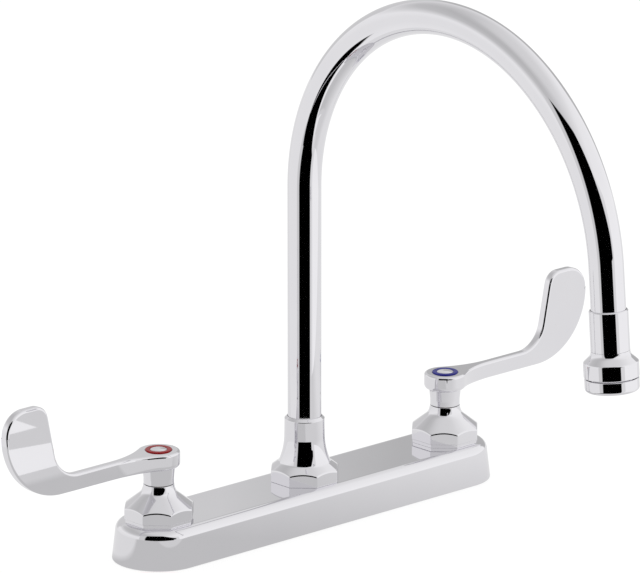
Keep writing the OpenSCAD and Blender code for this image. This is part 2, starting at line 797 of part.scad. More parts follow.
module spout_o_rings() {
    color("#26262a") for (z = oring_z) translate([0, 0, z])
        rotate_extrude() translate([oring_r, 0]) circle(oring_cord / 2 - oring_gap / 2);
}

module outlet_sleeve() {
    color("#cdcfd2") at_outlet() tube(sleeve_r, tube_r + thread_gap, 0, nozzle_t);
}

module outlet_nozzle() {
    color("#cdcfd2") at_outlet() difference() {
        union() {
            translate([0, 0, nozzle_t]) cylinder(r1 = sleeve_r, r2 = collar_r, h = nozzle_flare_h);
            translate([0, 0, collar_t]) cylinder(r = collar_r, h = collar_h);
        }
        translate([0, 0, nozzle_t - cut]) cylinder(r = tube_r + thread_gap, h = tube_end - nozzle_t + cut);
        translate([0, 0, nozzle_t]) cylinder(r = tube_r - tube_wall, h = collar_h + nozzle_flare_h + cut);
        translate([0, 0, socket_t]) cylinder(r = aerator_socket_r, h = collar_h);
    }
}

module aerator_housing() {
    thread_r = aerator_socket_r - thread_gap;
    color("#cdcfd2") at_outlet() difference() {
        union() {
            translate([0, 0, housing_neck_t]) cylinder(r = thread_r, h = housing_t - housing_neck_t);
            translate([0, 0, housing_t]) rotate_extrude() {
                square([housing_r, housing_h - housing_edge_r]);
                square([housing_r - housing_edge_r, housing_h]);
                translate([housing_r - housing_edge_r, housing_h - housing_edge_r]) circle(housing_edge_r);
            }
        }
        translate([0, 0, housing_neck_t - cut])
            cylinder(r = housing_bore_r, h = screen_end - housing_neck_t + cut);
        translate([0, 0, housing_neck_t]) cylinder(r = outlet_r, h = outlet_end);
    }
}

module aerator_washer() {
    color("#26262a") at_outlet()
        tube(aerator_socket_r - thread_gap, tube_r - tube_wall, socket_t, housing_neck_t);
}

// Discs with holes: a ring of ports for the former, a grid of holes for the screen
module flow_former() {
    r = housing_bore_r - thread_gap;
    color("#dcdcd6") at_outlet() translate([0, 0, former_t]) difference() {
        cylinder(r = r, h = former_h);
        for (k = [0:11]) rotate(hex_half * k) translate([former_ring_r, 0, -cut])
            cylinder(r = former_port_r, h = former_h + 2 * cut);
    }
}

module outlet_screen() {
    r = housing_bore_r - thread_gap;
    reach = r - screen_hole_r - screen_rim;
    n = floor(reach / screen_pitch);
    color("#b7babd") at_outlet() translate([0, 0, screen_end - screen_t]) difference() {
        cylinder(r = r, h = screen_t);
        for (i = [-n:n], j = [-n:n])
            if (norm([i + j / 2, j * cos(hex_half)]) * screen_pitch < reach)
                translate([(i + j / 2) * screen_pitch, j * cos(hex_half) * screen_pitch, -cut])
                    cylinder(r = screen_hole_r, h = screen_t + 2 * cut);
    }
}

deck_cover();
deck_gasket();
waterway();
on_hot() shank();  // hot_shank
on_cold() shank();  // cold_shank
lock_washers();
lock_nuts();
on_hot() bonnet_ring();  // hot_bonnet_ring
on_cold() bonnet_ring();  // cold_bonnet_ring
on_hot() bonnet();  // hot_bonnet
on_cold() bonnet();  // cold_bonnet
spout_bell();
spout_bearings();
on_hot() cartridge();  // hot_cartridge
on_cold() cartridge();  // cold_cartridge
on_hot() cartridge_nut();  // hot_cartridge_nut
on_cold() cartridge_nut();  // cold_cartridge_nut
on_hot() seat_seal();  // hot_seat_seal
on_cold() seat_seal();  // cold_seat_seal
on_hot() fixed_disc();  // hot_fixed_disc
on_cold() fixed_disc();  // cold_fixed_disc
on_hot() handle();  // hot_handle
on_hot() stem();  // hot_stem
on_hot() rotor_disc();  // hot_rotor_disc
on_hot() handle_screw();  // hot_handle_screw
on_hot() index_ring("#b3161c");  // hot_index_ring
on_hot() index_cap();  // hot_index_cap
on_cold() handle();  // cold_handle
on_cold() stem();  // cold_stem
on_cold() rotor_disc();  // cold_rotor_disc
on_cold() handle_screw();  // cold_handle_screw
on_cold() index_ring("#1c2f8f");  // cold_index_ring
on_cold() index_cap();  // cold_index_cap
spout_tube();
spout_spigot();
spout_o_rings();
outlet_sleeve();
outlet_nozzle();
aerator_housing();
aerator_washer();
flow_former();
outlet_screen();
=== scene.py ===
import math

import bmesh
import bpy
import numpy as np
from mathutils import Matrix, Vector
from mathutils.geometry import tessellate_polygon


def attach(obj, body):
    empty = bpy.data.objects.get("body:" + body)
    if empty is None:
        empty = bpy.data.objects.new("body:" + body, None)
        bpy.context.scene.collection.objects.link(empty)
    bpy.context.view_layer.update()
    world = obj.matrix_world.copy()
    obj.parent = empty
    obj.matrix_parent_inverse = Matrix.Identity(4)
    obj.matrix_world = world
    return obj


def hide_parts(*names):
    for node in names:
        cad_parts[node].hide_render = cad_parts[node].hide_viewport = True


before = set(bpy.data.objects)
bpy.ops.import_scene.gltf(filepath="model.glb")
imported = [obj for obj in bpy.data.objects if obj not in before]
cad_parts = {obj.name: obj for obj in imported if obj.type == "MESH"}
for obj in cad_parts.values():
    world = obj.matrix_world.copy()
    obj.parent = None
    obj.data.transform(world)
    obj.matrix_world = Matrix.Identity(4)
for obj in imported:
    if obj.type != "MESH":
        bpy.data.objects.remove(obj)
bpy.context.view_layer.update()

# The camera.
# A long lens about 3.5 m away, turned 43 degrees towards the hot side and 16 degrees above the deck,
# fitted to the photograph. It aims at the middle of the spout, above the cover's top.
turn, lift = math.radians(-42.92), math.radians(15.93)
right = Vector((math.cos(turn), math.sin(turn), 0))
back = Vector((math.sin(turn) * math.cos(lift), -math.cos(turn) * math.cos(lift), math.sin(lift)))
up = back.cross(right)
sideways, raised, distance, cover_height = 0.00804, 0.10009, 3.4707, 0.0204
eye = right * sideways + up * raised + back * distance + Vector((0, 0, cover_height))
camera = bpy.data.objects.new("camera", bpy.data.cameras.new("camera"))
camera.data.sensor_width = 36
camera.data.lens = 373.87
camera.data.clip_end = 60
camera.matrix_world = Matrix((
    (right.x, up.x, back.x, eye.x),
    (right.y, up.y, back.y, eye.y),
    (right.z, up.z, back.z, eye.z),
    (0, 0, 0, 1),
))
bpy.context.scene.collection.objects.link(camera)
bpy.context.scene.camera = camera

# The deck cover.
# A pressed shell with round ends, 252 mm long, that lies on the sink's deck and hides the waterway.
# It is plated in polished chrome, with a soft rolled edge all round its flat top.


def linear(shade):
    """An sRGB hex colour as the linear red, green, blue and alpha that a shader takes."""
    parts = [int(shade[i:i + 2], 16) / 255 for i in (1, 3, 5)]
    return [c / 12.92 if c <= 0.04045 else ((c + 0.055) / 1.055) ** 2.4 for c in parts] + [1.0]


def add(tree, kind, inputs=None, **settings):
    """Adds a node with its settings, and gives each input a value or links it to a socket."""
    made = tree.nodes.new(kind)
    for key, value in settings.items():
        setattr(made, key, value)
    for key, value in (inputs or {}).items():
        if isinstance(value, bpy.types.NodeSocket):
            tree.links.new(value, made.inputs[key])
        else:
            made.inputs[key].default_value = value
    return made


def finish_named(name):
    """A new material and its empty node tree."""
    finish = bpy.data.materials.new(name)
    finish.use_nodes = True
    finish.node_tree.nodes.clear()
    return finish, finish.node_tree


def mottled(name, scale, detail, dark, light):
    """A new material whose colour drifts between two shades, with the nodes that the rest builds on."""
    finish, tree = finish_named(name)
    place = add(tree, "ShaderNodeTexCoord")
    drift = add(tree, "ShaderNodeTexNoise", {
        "Vector": place.outputs["Object"], "Scale": scale, "Detail": detail})
    tone = add(tree, "ShaderNodeMix", {
        "Factor": drift.outputs["Fac"], "A": linear(dark), "B": linear(light)}, data_type="RGBA")
    return finish, tree, place, drift, tone


def end_in_surface(tree, tone, settings):
    """Ends a material in one surface of this colour with these settings."""
    surface = add(tree, "ShaderNodeBsdfPrincipled", {"Base Color": tone.outputs["Result"], **settings})
    add(tree, "ShaderNodeOutputMaterial", {"Surface": surface.outputs["BSDF"]})


# Chrome plate over polished brass: a mirror of a cool light grey. Handling leaves it a little uneven
# in gloss, in patches some 30 mm wide, and its grey wanders very little with them.
polished_chrome, tree, _, patches, tone = mottled(
    "polished_chrome_plate", 34.0, 3.0, "#E6E5E9", "#EAE9EC")
gloss = add(tree, "ShaderNodeMapRange", {"Value": patches.outputs["Fac"], "To Min": 0.012, "To Max": 0.03})
end_in_surface(tree, tone, {"Metallic": 1.0, "Roughness": gloss.outputs["Result"]})


def rounded(corners, steps=7, beside=0.14):
    """A line through corners (x, y, radius), each turned into an arc with a close point on each side,
    so that the flats next to it shade flat."""
    line = []
    for i, (x, y, r) in enumerate(corners):
        here = Vector((x, y))
        if r == 0 or i in (0, len(corners) - 1):
            line.append((x, y))
            continue
        a = (Vector(corners[i - 1][:2]) - here).normalized()
        b = (Vector(corners[i + 1][:2]) - here).normalized()
        half = a.angle(b) / 2
        reach = r / math.tan(half)
        centre = here + (a + b).normalized() * (r / math.sin(half))
        line.append(tuple(here + a * (reach + beside)))
        first, last = here + a * reach - centre, here + b * reach - centre
        sweep = math.atan2(first.x * last.y - first.y * last.x, first.dot(last))
        for k in range(steps + 1):
            angle = sweep * k / steps
            c, s = math.cos(angle), math.sin(angle)
            line.append((centre.x + first.x * c - first.y * s, centre.y + first.x * s + first.y * c))
        line.append(tuple(here + b * (reach + beside)))
    return line


def band(rings, shut=False):
    """Quads between each ring of points and the next, and from the last to the first if it is shut."""
    rings = [list(r) for r in rings]
    n = len(rings[0])
    points = [p for r in rings for p in r]
    faces = []
    for i in range(len(rings) if shut else len(rings) - 1):
        j = (i + 1) % len(rings)
        for k in range(n):
            m = (k + 1) % n
            faces.append((i * n + k, i * n + m, j * n + m, j * n + k))
    return points, faces


def filled(outline, holes):
    """Triangles that fill an outline round its holes."""
    loops = [[Vector(p) for p in loop] for loop in (outline, *holes)]
    points = [tuple(p) for loop in loops for p in loop]
    return points, tessellate_polygon(loops)


def placed(name, data, finish):
    """An object in the scene, at the origin, of this mesh in this material."""
    data.materials.append(finish)
    piece = bpy.data.objects.new(name, data)
    bpy.context.scene.collection.objects.link(piece)
    return piece


def mesh(name, parts, finish, place=None, crease=32):
    """One closed mesh of several parts in millimetres, smooth but for edges sharper than the crease."""
    shape = bmesh.new()
    for points, faces in parts:
        spots = [Vector(p) for p in points]
        corners = [shape.verts.new((place @ p if place else p) * 0.001) for p in spots]
        for face in faces:
            if len({tuple(corners[i].co) for i in face}) > 2:
                shape.faces.new([corners[i] for i in face])
    bmesh.ops.remove_doubles(shape, verts=shape.verts, dist=2e-6)
    bmesh.ops.dissolve_degenerate(shape, dist=1e-6, edges=shape.edges)
    bmesh.ops.recalc_face_normals(shape, faces=shape.faces)
    data = bpy.data.meshes.new(name)
    shape.to_mesh(data)
    shape.free()
    data.shade_smooth()
    data.set_sharp_from_angle(angle=math.radians(crease))
    return placed(name, data, finish)


def stands_for(piece, body, slot, *nodes):
    """The piece rides on a body and is shown in place of these solids. Its slot is not used."""
    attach(piece, body)
    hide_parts(*nodes)


def ring_of(r, z, x=0.0, count=96):
    """A level circle round the upright axis at x."""
    turns = [2 * math.pi * k / count for k in range(count)]
    return [(x + r * math.cos(t), r * math.sin(t), z) for t in turns]


valve_x = 101.6
sides = (("hot", -1), ("cold", 1))
cover_top, cover_ceiling, cover_sheet = 20.4, 18.6, 1.8
cover_foot, neck_hole_r = 24.3, 12.3
roll_r, roll_x, roll_z, draft = 5.0, 17.513, 15.4, math.radians(6.5)


def cover_ring(out, z, count=56):
    """A level loop round both valve axes, at a distance from the line between them."""
    loop = []
    for side in (1, -1):
        for k in range(count + 1):
            t = -math.pi / 2 + math.pi * k / count
            loop.append((side * (valve_x + out * math.cos(t)), side * out * math.sin(t), z))
    return loop


roll = [draft + (math.pi / 2 - draft) * k / 14 for k in range(15)]

# The cover's section, as distance out and height: over the top roll, down the wall, round its foot, and up
# inside. Close points beside each round keep the flats flat.
foot_round = [(24.26, 0.35), (24.19, 0.12), (24.0, 0.0), (22.8, 0.0), (22.55, 0.12), (22.45, 0.35)]
inner_r = roll_r - cover_sheet
inside = [(roll_x + inner_r * math.cos(t), roll_z + inner_r * math.sin(t)) for t in roll]
wall = [(roll_x - 0.15, cover_top)]
wall += [(roll_x + roll_r * math.cos(t), roll_z + roll_r * math.sin(t)) for t in reversed(roll)]
wall += [(roll_x + roll_r * math.cos(draft) + 0.017, roll_z + roll_r * math.sin(draft) - 0.15)]
wall += [(cover_foot - z * math.tan(draft), z) for z in (0.9, 0.5)]
wall += foot_round + inside + [(roll_x - 0.15, cover_ceiling)]
tops = [ring_of(neck_hole_r, cover_top, x, 48) for x in (-valve_x, 0.0, valve_x)]
unders = [ring_of(neck_hole_r, cover_ceiling, x, 48) for x in (-valve_x, 0.0, valve_x)]
parts = [band([cover_ring(out, z) for out, z in wall])]
parts += [filled(cover_ring(*wall[0]), tops), filled(cover_ring(*wall[-1]), unders)]
parts += [band([high, low]) for high, low in zip(tops, unders)]
cover = mesh("deck_cover_shell", parts, polished_chrome)
stands_for(cover, "base", "chrome", "deck_cover")

# The inlet shanks, with their lock nuts and washers.
# Each shank is a threaded brass tube, 13/16 inch across, that hangs through a hole of the deck.
# A hexagon nut with a washer clamps the faucet from below, and the supply hose screws on under it.

# Machined brass, unplated: warm yellow, with fine turning marks and a soft sheen.
machined_brass, tree, place, stain, tone = mottled("machined_brass", 90.0, 4.0, "#B58F47", "#D4B36C")
marks = add(tree, "ShaderNodeTexWave", {
    "Vector": place.outputs["Object"], "Scale": 320.0, "Distortion": 0.6, "Detail": 1.0},
    wave_type="BANDS", bands_direction="Z")
gloss = add(tree, "ShaderNodeMapRange", {"Value": stain.outputs["Fac"], "To Min": 0.22, "To Max": 0.38})
turned_marks = add(tree, "ShaderNodeBump", {
    "Height": marks.outputs["Fac"], "Strength": 0.25, "Distance": 0.00004})
end_in_surface(tree, tone, {
    "Metallic": 1.0, "Roughness": gloss.outputs["Result"], "Normal": turned_marks.outputs["Normal"]})

# Zinc-plated steel: a grey metal with a cloudy, slightly bluish bloom.
zinc_plate, tree, _, bloom, tone = mottled("zinc_plated_steel", 260.0, 5.0, "#9BA2A8", "#BCC0C2")
gloss = add(tree, "ShaderNodeMapRange", {"Value": bloom.outputs["Fac"], "To Min": 0.25, "To Max": 0.45})
end_in_surface(tree, tone, {"Metallic": 1.0, "Roughness": gloss.outputs["Result"]})

shank_foot, shank_top, shank_r, shank_bore, thread_start = -58.0, 6.9, 9.3, 6.2, 1.4


def geometry_tree(name, sockets):
    """A new geometry tree with these inputs (name, kind, value) and one output of geometry."""
    tree = bpy.data.node_groups.new(name, "GeometryNodeTree")
    for label, kind, value in sockets:
        socket = tree.interface.new_socket(name=label, in_out="INPUT", socket_type=f"NodeSocket{kind}")
        if value is not None:
            socket.default_value = value
    tree.interface.new_socket(name="Result", in_out="OUTPUT", socket_type="NodeSocketGeometry")
    return tree, add(tree, "NodeGroupInput")


# A ridge wound round the core as a helix. Its pitch is that of 14 threads to the inch, and lengths here
# are in metres.
thread, given = geometry_tree("pipe_thread", (
    ("Core", "Geometry", None), ("Pitch", "Float", 0.00181), ("Length", "Float", 0.0555),
    ("Ridge radius", "Float", 0.00955), ("Ridge size", "Float", 0.0008),
    ("Foot", "Vector", (0, 0, 0)), ("Finish", "Material", None)))
windings = add(thread, "ShaderNodeMath", {
    0: given.outputs["Length"], 1: given.outputs["Pitch"]}, operation="DIVIDE")
helix = add(thread, "GeometryNodeCurveSpiral", {
    "Resolution": 40, "Rotations": windings.outputs[0], "Start Radius": given.outputs["Ridge radius"],
    "End Radius": given.outputs["Ridge radius"], "Height": given.outputs["Length"]})
level = add(thread, "GeometryNodeSetCurveNormal", {"Curve": helix.outputs["Curve"]}, mode="Z_UP")
ridge = add(thread, "GeometryNodeCurvePrimitiveCircle", {
    "Resolution": 4, "Radius": given.outputs["Ridge size"]}, mode="RADIUS")
swept = add(thread, "GeometryNodeCurveToMesh", {
    "Curve": level.outputs["Curve"], "Profile Curve": ridge.outputs["Curve"], "Fill Caps": True})
moved = add(thread, "GeometryNodeTransform", {
    "Geometry": swept.outputs["Mesh"], "Translation": given.outputs["Foot"]})
joined = add(thread, "GeometryNodeJoinGeometry")
thread.links.new(moved.outputs["Geometry"], joined.inputs["Geometry"])
thread.links.new(given.outputs["Core"], joined.inputs["Geometry"])
real = add(thread, "GeometryNodeRealizeInstances", {"Geometry": joined.outputs["Geometry"]})
coated = add(thread, "GeometryNodeSetMaterial", {
    "Geometry": real.outputs["Geometry"], "Material": given.outputs["Finish"]})
add(thread, "NodeGroupOutput", {"Result": coated.outputs["Geometry"]})


def with_tree(piece, tree, **values):
    """Runs a geometry tree on a piece, with inputs by name, and keeps the result as a plain mesh."""
    step = piece.modifiers.new(tree.name, "NODES")
    step.node_group = tree
    for item in tree.interface.items_tree:
        if item.in_out == "INPUT" and item.name in values:
            step[item.identifier] = values[item.name]
    bpy.context.view_layer.update()
    result = bpy.data.meshes.new_from_object(piece.evaluated_get(bpy.context.evaluated_depsgraph_get()))
    piece.modifiers.clear()
    piece.data = result
    return piece


for name, side in sides:
    core = rounded([
        (shank_r, shank_top, 0), (shank_r, shank_foot, 0.9), (shank_bore, shank_foot, 0.4),
        (shank_bore, shank_top, 0)], steps=3)
    rings = [ring_of(r, z, side * valve_x, 64) for r, z in core]
    shank = mesh(f"{name}_inlet_shank", [band(rings, shut=True)], machined_brass)
    with_tree(shank, thread, **{
        "Foot": (side * valve_x / 1000, 0, (shank_foot + thread_start) / 1000), "Finish": machined_brass})
    stands_for(shank, "base", "brass", f"{name}_shank")

washer_parts, nut_parts = [], []
washer_r, washer_bore, lower, upper = 20.0, 10.7, -17.6, -16.0
flats, face_r, nut_bore, bottom, top = 16.0, 13.0, 10.5, -24.6, -17.6
cone_r, cone_slope = 15.6, 1.7
for name, side in sides:
    line = rounded([
        (15, lower, 0), (washer_r, lower, 0.3), (washer_r, upper, 0.3), (washer_bore, upper, 0.2),
        (washer_bore, lower, 0.2), (15, lower, 0)], steps=3, beside=0.1)[:-1]
    washer_parts.append(band([ring_of(r, z, side * valve_x, 72) for r, z in line], shut=True))

    # The nut's corners are turned back to a cone on both faces, which leaves an arc on each flat.
    turns = [2 * math.pi * k / 144 for k in range(144)]
    rows = [(face_r, bottom)]
    rows += [(None, bottom + (top - bottom) * k / 28) for k in range(29)] + [(face_r, top)]
    rings = []
    for r, z in rows:
        ring = []
        for t in turns:
            hexagon = flats / math.cos((t + math.pi / 6) % (math.pi / 3) - math.pi / 6)
            cone = cone_r + cone_slope * min(z - bottom, top - z)
            reach = r or min(hexagon, cone)
            ring.append((side * valve_x + reach * math.cos(t), reach * math.sin(t), z))
        rings.append(ring)
    rings += [ring_of(nut_bore, z, side * valve_x, 144) for z in (top, bottom)]
    nut_parts.append(band(rings, shut=True))
washers = mesh("shank_washers", washer_parts, zinc_plate)
stands_for(washers, "base", "washer_steel", "lock_washers")
nuts = mesh("shank_lock_nuts", nut_parts, machined_brass)
stands_for(nuts, "base", "brass", "lock_nuts")

# The gasket and the waterway under the cover.
# A black rubber sheet seals the cover to the deck. The waterway is one sand-cast brass piece: two valve
# bodies and a spout socket, joined by cross tubes. Both come straight from the solids.

# Moulded rubber: near black and matt, with a fine, slightly dusty grain.
moulded_rubber, tree, place, _, tone = mottled("moulded_black_rubber", 60.0, 4.0, "#1A1A1C", "#2C2C2E")
grain = add(tree, "ShaderNodeTexNoise", {"Vector": place.outputs["Object"], "Scale": 1400.0, "Detail": 3.0})
pores = add(tree, "ShaderNodeBump", {"Height": grain.outputs["Fac"], "Strength": 0.3, "Distance": 0.0001})
end_in_surface(tree, tone, {"Roughness": 0.62, "IOR": 1.52, "Normal": pores.outputs["Normal"]})

# Sand-cast brass: a dull brown yellow with a pebbled skin, brighter where the grain stands up.
cast_brass, tree, _, sand, tone = mottled("sand_cast_brass", 1100.0, 6.0, "#8A6A34", "#BE9A56")
pebbles = add(tree, "ShaderNodeBump", {"Height": sand.outputs["Fac"], "Strength": 0.6, "Distance": 0.0003})
end_in_surface(tree, tone, {"Metallic": 1.0, "Roughness": 0.48, "Normal": pebbles.outputs["Normal"]})


def coat(slot, finish, *nodes):
    """Gives solids that are shown as they are the finish of the real piece."""
    for node in nodes:
        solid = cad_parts[node]
        solid.data.materials.clear()
        solid.data.materials.append(finish)


coat("rubber", moulded_rubber, "deck_gasket")
coat("brass", cast_brass, "waterway")

# The valve parts, inside each bonnet.
# A brass cartridge holds a rubber seat, a fixed and a turning ceramic disc, and the stem that the
# handle turns by its splines. They are hidden in use, and come straight from the solids.

# Lapped alumina: hard white ceramic with a smooth gloss, faintly creamy in fine specks.
lapped_ceramic, tree, _, _, tone = mottled("lapped_alumina_ceramic", 900.0, 2.0, "#E6E1D6", "#F3F0EA")
end_in_surface(tree, tone, {"Roughness": 0.16, "IOR": 1.76})

# Stainless steel, turned and left plain: neutral grey with a fine uneven sheen.
plain_stainless, tree, _, brushing, tone = mottled(
    "plain_stainless_steel", 1500.0, 2.0, "#A3A5A6", "#BDBEBE")
gloss = add(tree, "ShaderNodeMapRange", {"Value": brushing.outputs["Fac"], "To Min": 0.2, "To Max": 0.36})
end_in_surface(tree, tone, {"Metallic": 1.0, "Roughness": gloss.outputs["Result"]})

for name, side in sides:
    coat("brass", machined_brass, f"{name}_cartridge", f"{name}_cartridge_nut", f"{name}_stem")
    coat("rubber", moulded_rubber, f"{name}_seat_seal")
    coat("ceramic", lapped_ceramic, f"{name}_fixed_disc", f"{name}_rotor_disc")
    coat("screw_steel", plain_stainless, f"{name}_handle_screw")

# The side bonnets and the rings under them.
# Brass castings, turned to a flare that hollows out to a narrow neck, then ground to an upright octagon
# at the foot, so that each flat ends in a low arch. Each screws onto a thin ring that stands a little back.


def octagon_ring(flats, corner, z, x=0.0):
    """A level octagon with rounded corners, and points close beside each to keep its flats flat."""
    loop = []
    centre = (flats - corner) / math.cos(math.pi / 8)
    for k in range(8):
        way = math.pi / 4 * (k + 0.5)
        cx, cy = centre * math.cos(way), centre * math.sin(way)
        for j in range(-1, 7):
            t = math.pi / 4 * (k + min(max(j, 0), 5) / 5)
            slip = 0.12 * ((j == 6) - (j == -1))
            dx, dy = corner * math.cos(t) - slip * math.sin(t), corner * math.sin(t) + slip * math.cos(t)
            loop.append((x + cx + dx, cy + dy, z))
    return loop


def soft_min(a, b, blend):
    """The lower of two values, rounded where they are closer than the blend."""
    near = np.clip(blend - abs(a - b), 0, None) / blend
    return np.minimum(a, b) - near * near * blend / 4


def eight_flats(turns, flats, blend):
    """Distance to eight flat sides at each turn, with rounded corners."""
    low = (turns + math.pi / 8) % (math.pi / 4) - math.pi / 8
    other = math.pi / 4 - abs(low)
    return soft_min(flats / np.cos(low), flats / np.cos(other), blend)


foot_flats, seat_flats = 17.35, 16.85
across_flat = np.concatenate([np.linspace(-22.5, -19.5, 12)[:-1], np.linspace(-19.5, 19.5, 22)[:-1],
                              np.linspace(19.5, 22.5, 12)[:-1]])
side_turns = np.concatenate([np.radians(across_flat + 45 * k) for k in range(8)])


def turned_octagon(low, seam, slope, round_rows, x=0.0):
    """Rings of a turned casting with an octagonal foot: up the flats from the underside, over the edge
    where the flats cut the cone that climbs to the seam, then round rows of radius and height."""
    columns = []
    for flat in eight_flats(side_turns, foot_flats, 0.45):
        edge = seam[1] - (flat - seam[0]) * slope
        columns.append(rounded([
            (flat - 0.8, low, 0), (flat, low, 0.25), (flat, edge, 1.4), (*seam, 0)], steps=7) + round_rows)
    return [[(x + r * math.cos(t), r * math.sin(t), cover_top + z) for (r, z), t in zip(row, side_turns)]
            for row in zip(*columns)]


# The bonnet's section above the seam, with heights from the cover's top: a straight flare that blends
# into the hollow and ends at the neck, then down the stem's bore and the room round the cartridge.
neck_r, neck_top, hollow_r, stem_bore, socket_r = 7.9, 19.4, 12.0, 5.3, 12.1
seat_top, arch_top, seam_z = 1.9, 8.4, 12.0
hollow_x = neck_r + hollow_r * math.cos(math.radians(6))
hollow_z = neck_top + hollow_r * math.sin(math.radians(6))
flare_r, flare_z = hollow_x - hollow_r * math.cos(math.radians(30)), hollow_z - hollow_r / 2
fall = (flare_z - arch_top) / (foot_flats - flare_r)
neck_rows = []
for z in np.linspace(12.1, 19.0, 40):
    flare = flare_r + (flare_z - z) / fall
    hollow = hollow_x - math.sqrt(hollow_r ** 2 - (hollow_z - z) ** 2)
    neck_rows.append((float(-soft_min(-flare, -hollow, 0.8)), float(z)))
neck_rows += rounded([
    (*neck_rows[-1], 0), (neck_r, neck_top, 0.25), (neck_r - 1.2, neck_top, 0)], steps=4)[1:]
neck_rows += [(stem_bore, neck_top), (stem_bore, 9.3), (8.4, 9.0), (socket_r, 7.3), (socket_r, seat_top)]
seam = (flare_r + (flare_z - seam_z) / fall, seam_z)

for name, side in sides:
    x = side * valve_x
    rings = turned_octagon(seat_top, seam, fall, neck_rows, x)
    bonnet = mesh(f"{name}_bonnet_flare", [band(rings, shut=True)], polished_chrome)
    stands_for(bonnet, "base", "chrome", f"{name}_bonnet")

    line = rounded([
        (15.0, 0, 0), (seat_flats, 0, 0.1), (seat_flats, seat_top, 0.1), (15.0, seat_top, 0)],
        steps=3, beside=0.08)
    rings = [octagon_ring(r, 0.35, cover_top + z, x) for r, z in line]
    rings += [ring_of(neck_hole_r, z, x, 64) for z in (cover_top + seat_top, cover_top)]
    seat = mesh(f"{name}_bonnet_seat_ring", [band(rings, shut=True)], polished_chrome)
    stands_for(seat, "base", "chrome", f"{name}_bonnet_ring")

# The spout's bell.
# One chromed casting that holds the spout down: an octagonal foot with a shoulder turned to a cone, and
# a round neck that draws in along one long hollow to a plain collar with a turned-back rim.
collar_r, hollow_top, hollow_r, collar_top, rim_bore = 10.5, 23.3, 36.0, 33.3, 8.91
rim_draft, collar_draft = math.radians(0.2), math.radians(1.4)
shoulder, shoulder_z, seam_z = 1 / 1.34, 6.0, 8.8
foot_corner = foot_flats / math.cos(math.pi / 8)


def collar(z):
    """The bell's radius above its hollow, where its draft grows from the rim down."""
    below, more = collar_top - z, collar_draft - rim_draft
    return collar_r + rim_draft * below + more * below ** 2 / (collar_top - hollow_top) / 2


hollow_x = collar(hollow_top) + hollow_r * math.cos(collar_draft)
hollow_z = hollow_top + hollow_r * math.sin(collar_draft)
collar_rows = []
for z in np.concatenate([
        np.linspace(8.9, 10.4, 22), np.linspace(10.7, hollow_top, 36), np.linspace(23.8, 32.7, 12)]):
    if z > hollow_top:
        collar_rows.append((collar(float(z)), float(z)))
        continue
    cone = foot_corner - (z - shoulder_z) / shoulder
    hollow = hollow_x - math.sqrt(hollow_r ** 2 - (hollow_z - z) ** 2)
    collar_rows.append((float(-soft_min(-cone, -hollow, 0.4)), float(z)))
collar_rows += rounded([
    (*collar_rows[-1], 0), (collar_r, collar_top, 0.3), (8.95, 34.8, 0.12), (rim_bore, 33.9, 0)],
    steps=5)[1:]
collar_rows += [(rim_bore, 9.5), (10.7, 9.42), (10.7, 5.4), (socket_r, 5.4), (socket_r, 0.0)]
seam = (foot_corner - (seam_z - shoulder_z) / shoulder, seam_z)
rings = turned_octagon(0.0, seam, shoulder, collar_rows)
bell = mesh("spout_bell_casting", [band(rings, shut=True)], polished_chrome, crease=40)
stands_for(bell, "base", "chrome", "spout_bell")

# The spout's bearings and spigot.
# The spigot is a turned brass end, soldered into the tube, that swivels in the socket on two O-rings.
# Plastic rings above and below its flange carry it. All of it is inside the bell.

# Natural acetal: a waxy off-white plastic, smooth from the mould.
natural_acetal, tree, _, _, tone = mottled("natural_acetal", 220.0, 2.0, "#DCDAD2", "#ECEAE4")
end_in_surface(tree, tone, {"Roughness": 0.4, "IOR": 1.48})

coat("bearing_plastic", natural_acetal, "spout_bearings")
coat("brass", machined_brass, "spout_spigot")
coat("rubber", moulded_rubber, "spout_o_rings")

# The wrist-blade handles.
# Each is one chromed zinc casting: a round hub with a skirt down to the bonnet, an arm that narrows out
# of the hub along two hollows, and a tall flat blade bent up at the end. All its edges are rolled.
hub_r, hub_top, arm_low, blade_half, arm_hollow = 11.1, 37.2, 28.4, 2.5, 50.0
index_bore, skirt_r, skirt_foot = 7.1, 8.45, 19.7
flare_end = math.sqrt((hub_r + arm_hollow) ** 2 - (blade_half + arm_hollow) ** 2)
flare_start = flare_end * hub_r / (hub_r + arm_hollow)
crook, crook_r, lean_in = (55.55, 53.2), 16.0, math.radians(11.6)
corner, corner_r = (83.463, 69.5), 8.0
tip, tip_r = (90.3, 64.6), 12.9
heel, heel_r = (67.0, 64.6), 36.2


def half_width(x):
    """The handle's half width seen from above, and the way that its side faces there."""
    if x <= flare_start:
        y = math.sqrt(max(0.0, hub_r ** 2 - x * x))
        return y, (x / hub_r, y / hub_r)
    if x < flare_end:
        y = blade_half + arm_hollow - math.sqrt(arm_hollow ** 2 - (flare_end - x) ** 2)
        return y, ((flare_end - x) / arm_hollow, (blade_half + arm_hollow - y) / arm_hollow)
    return blade_half, (0.0, 1.0)


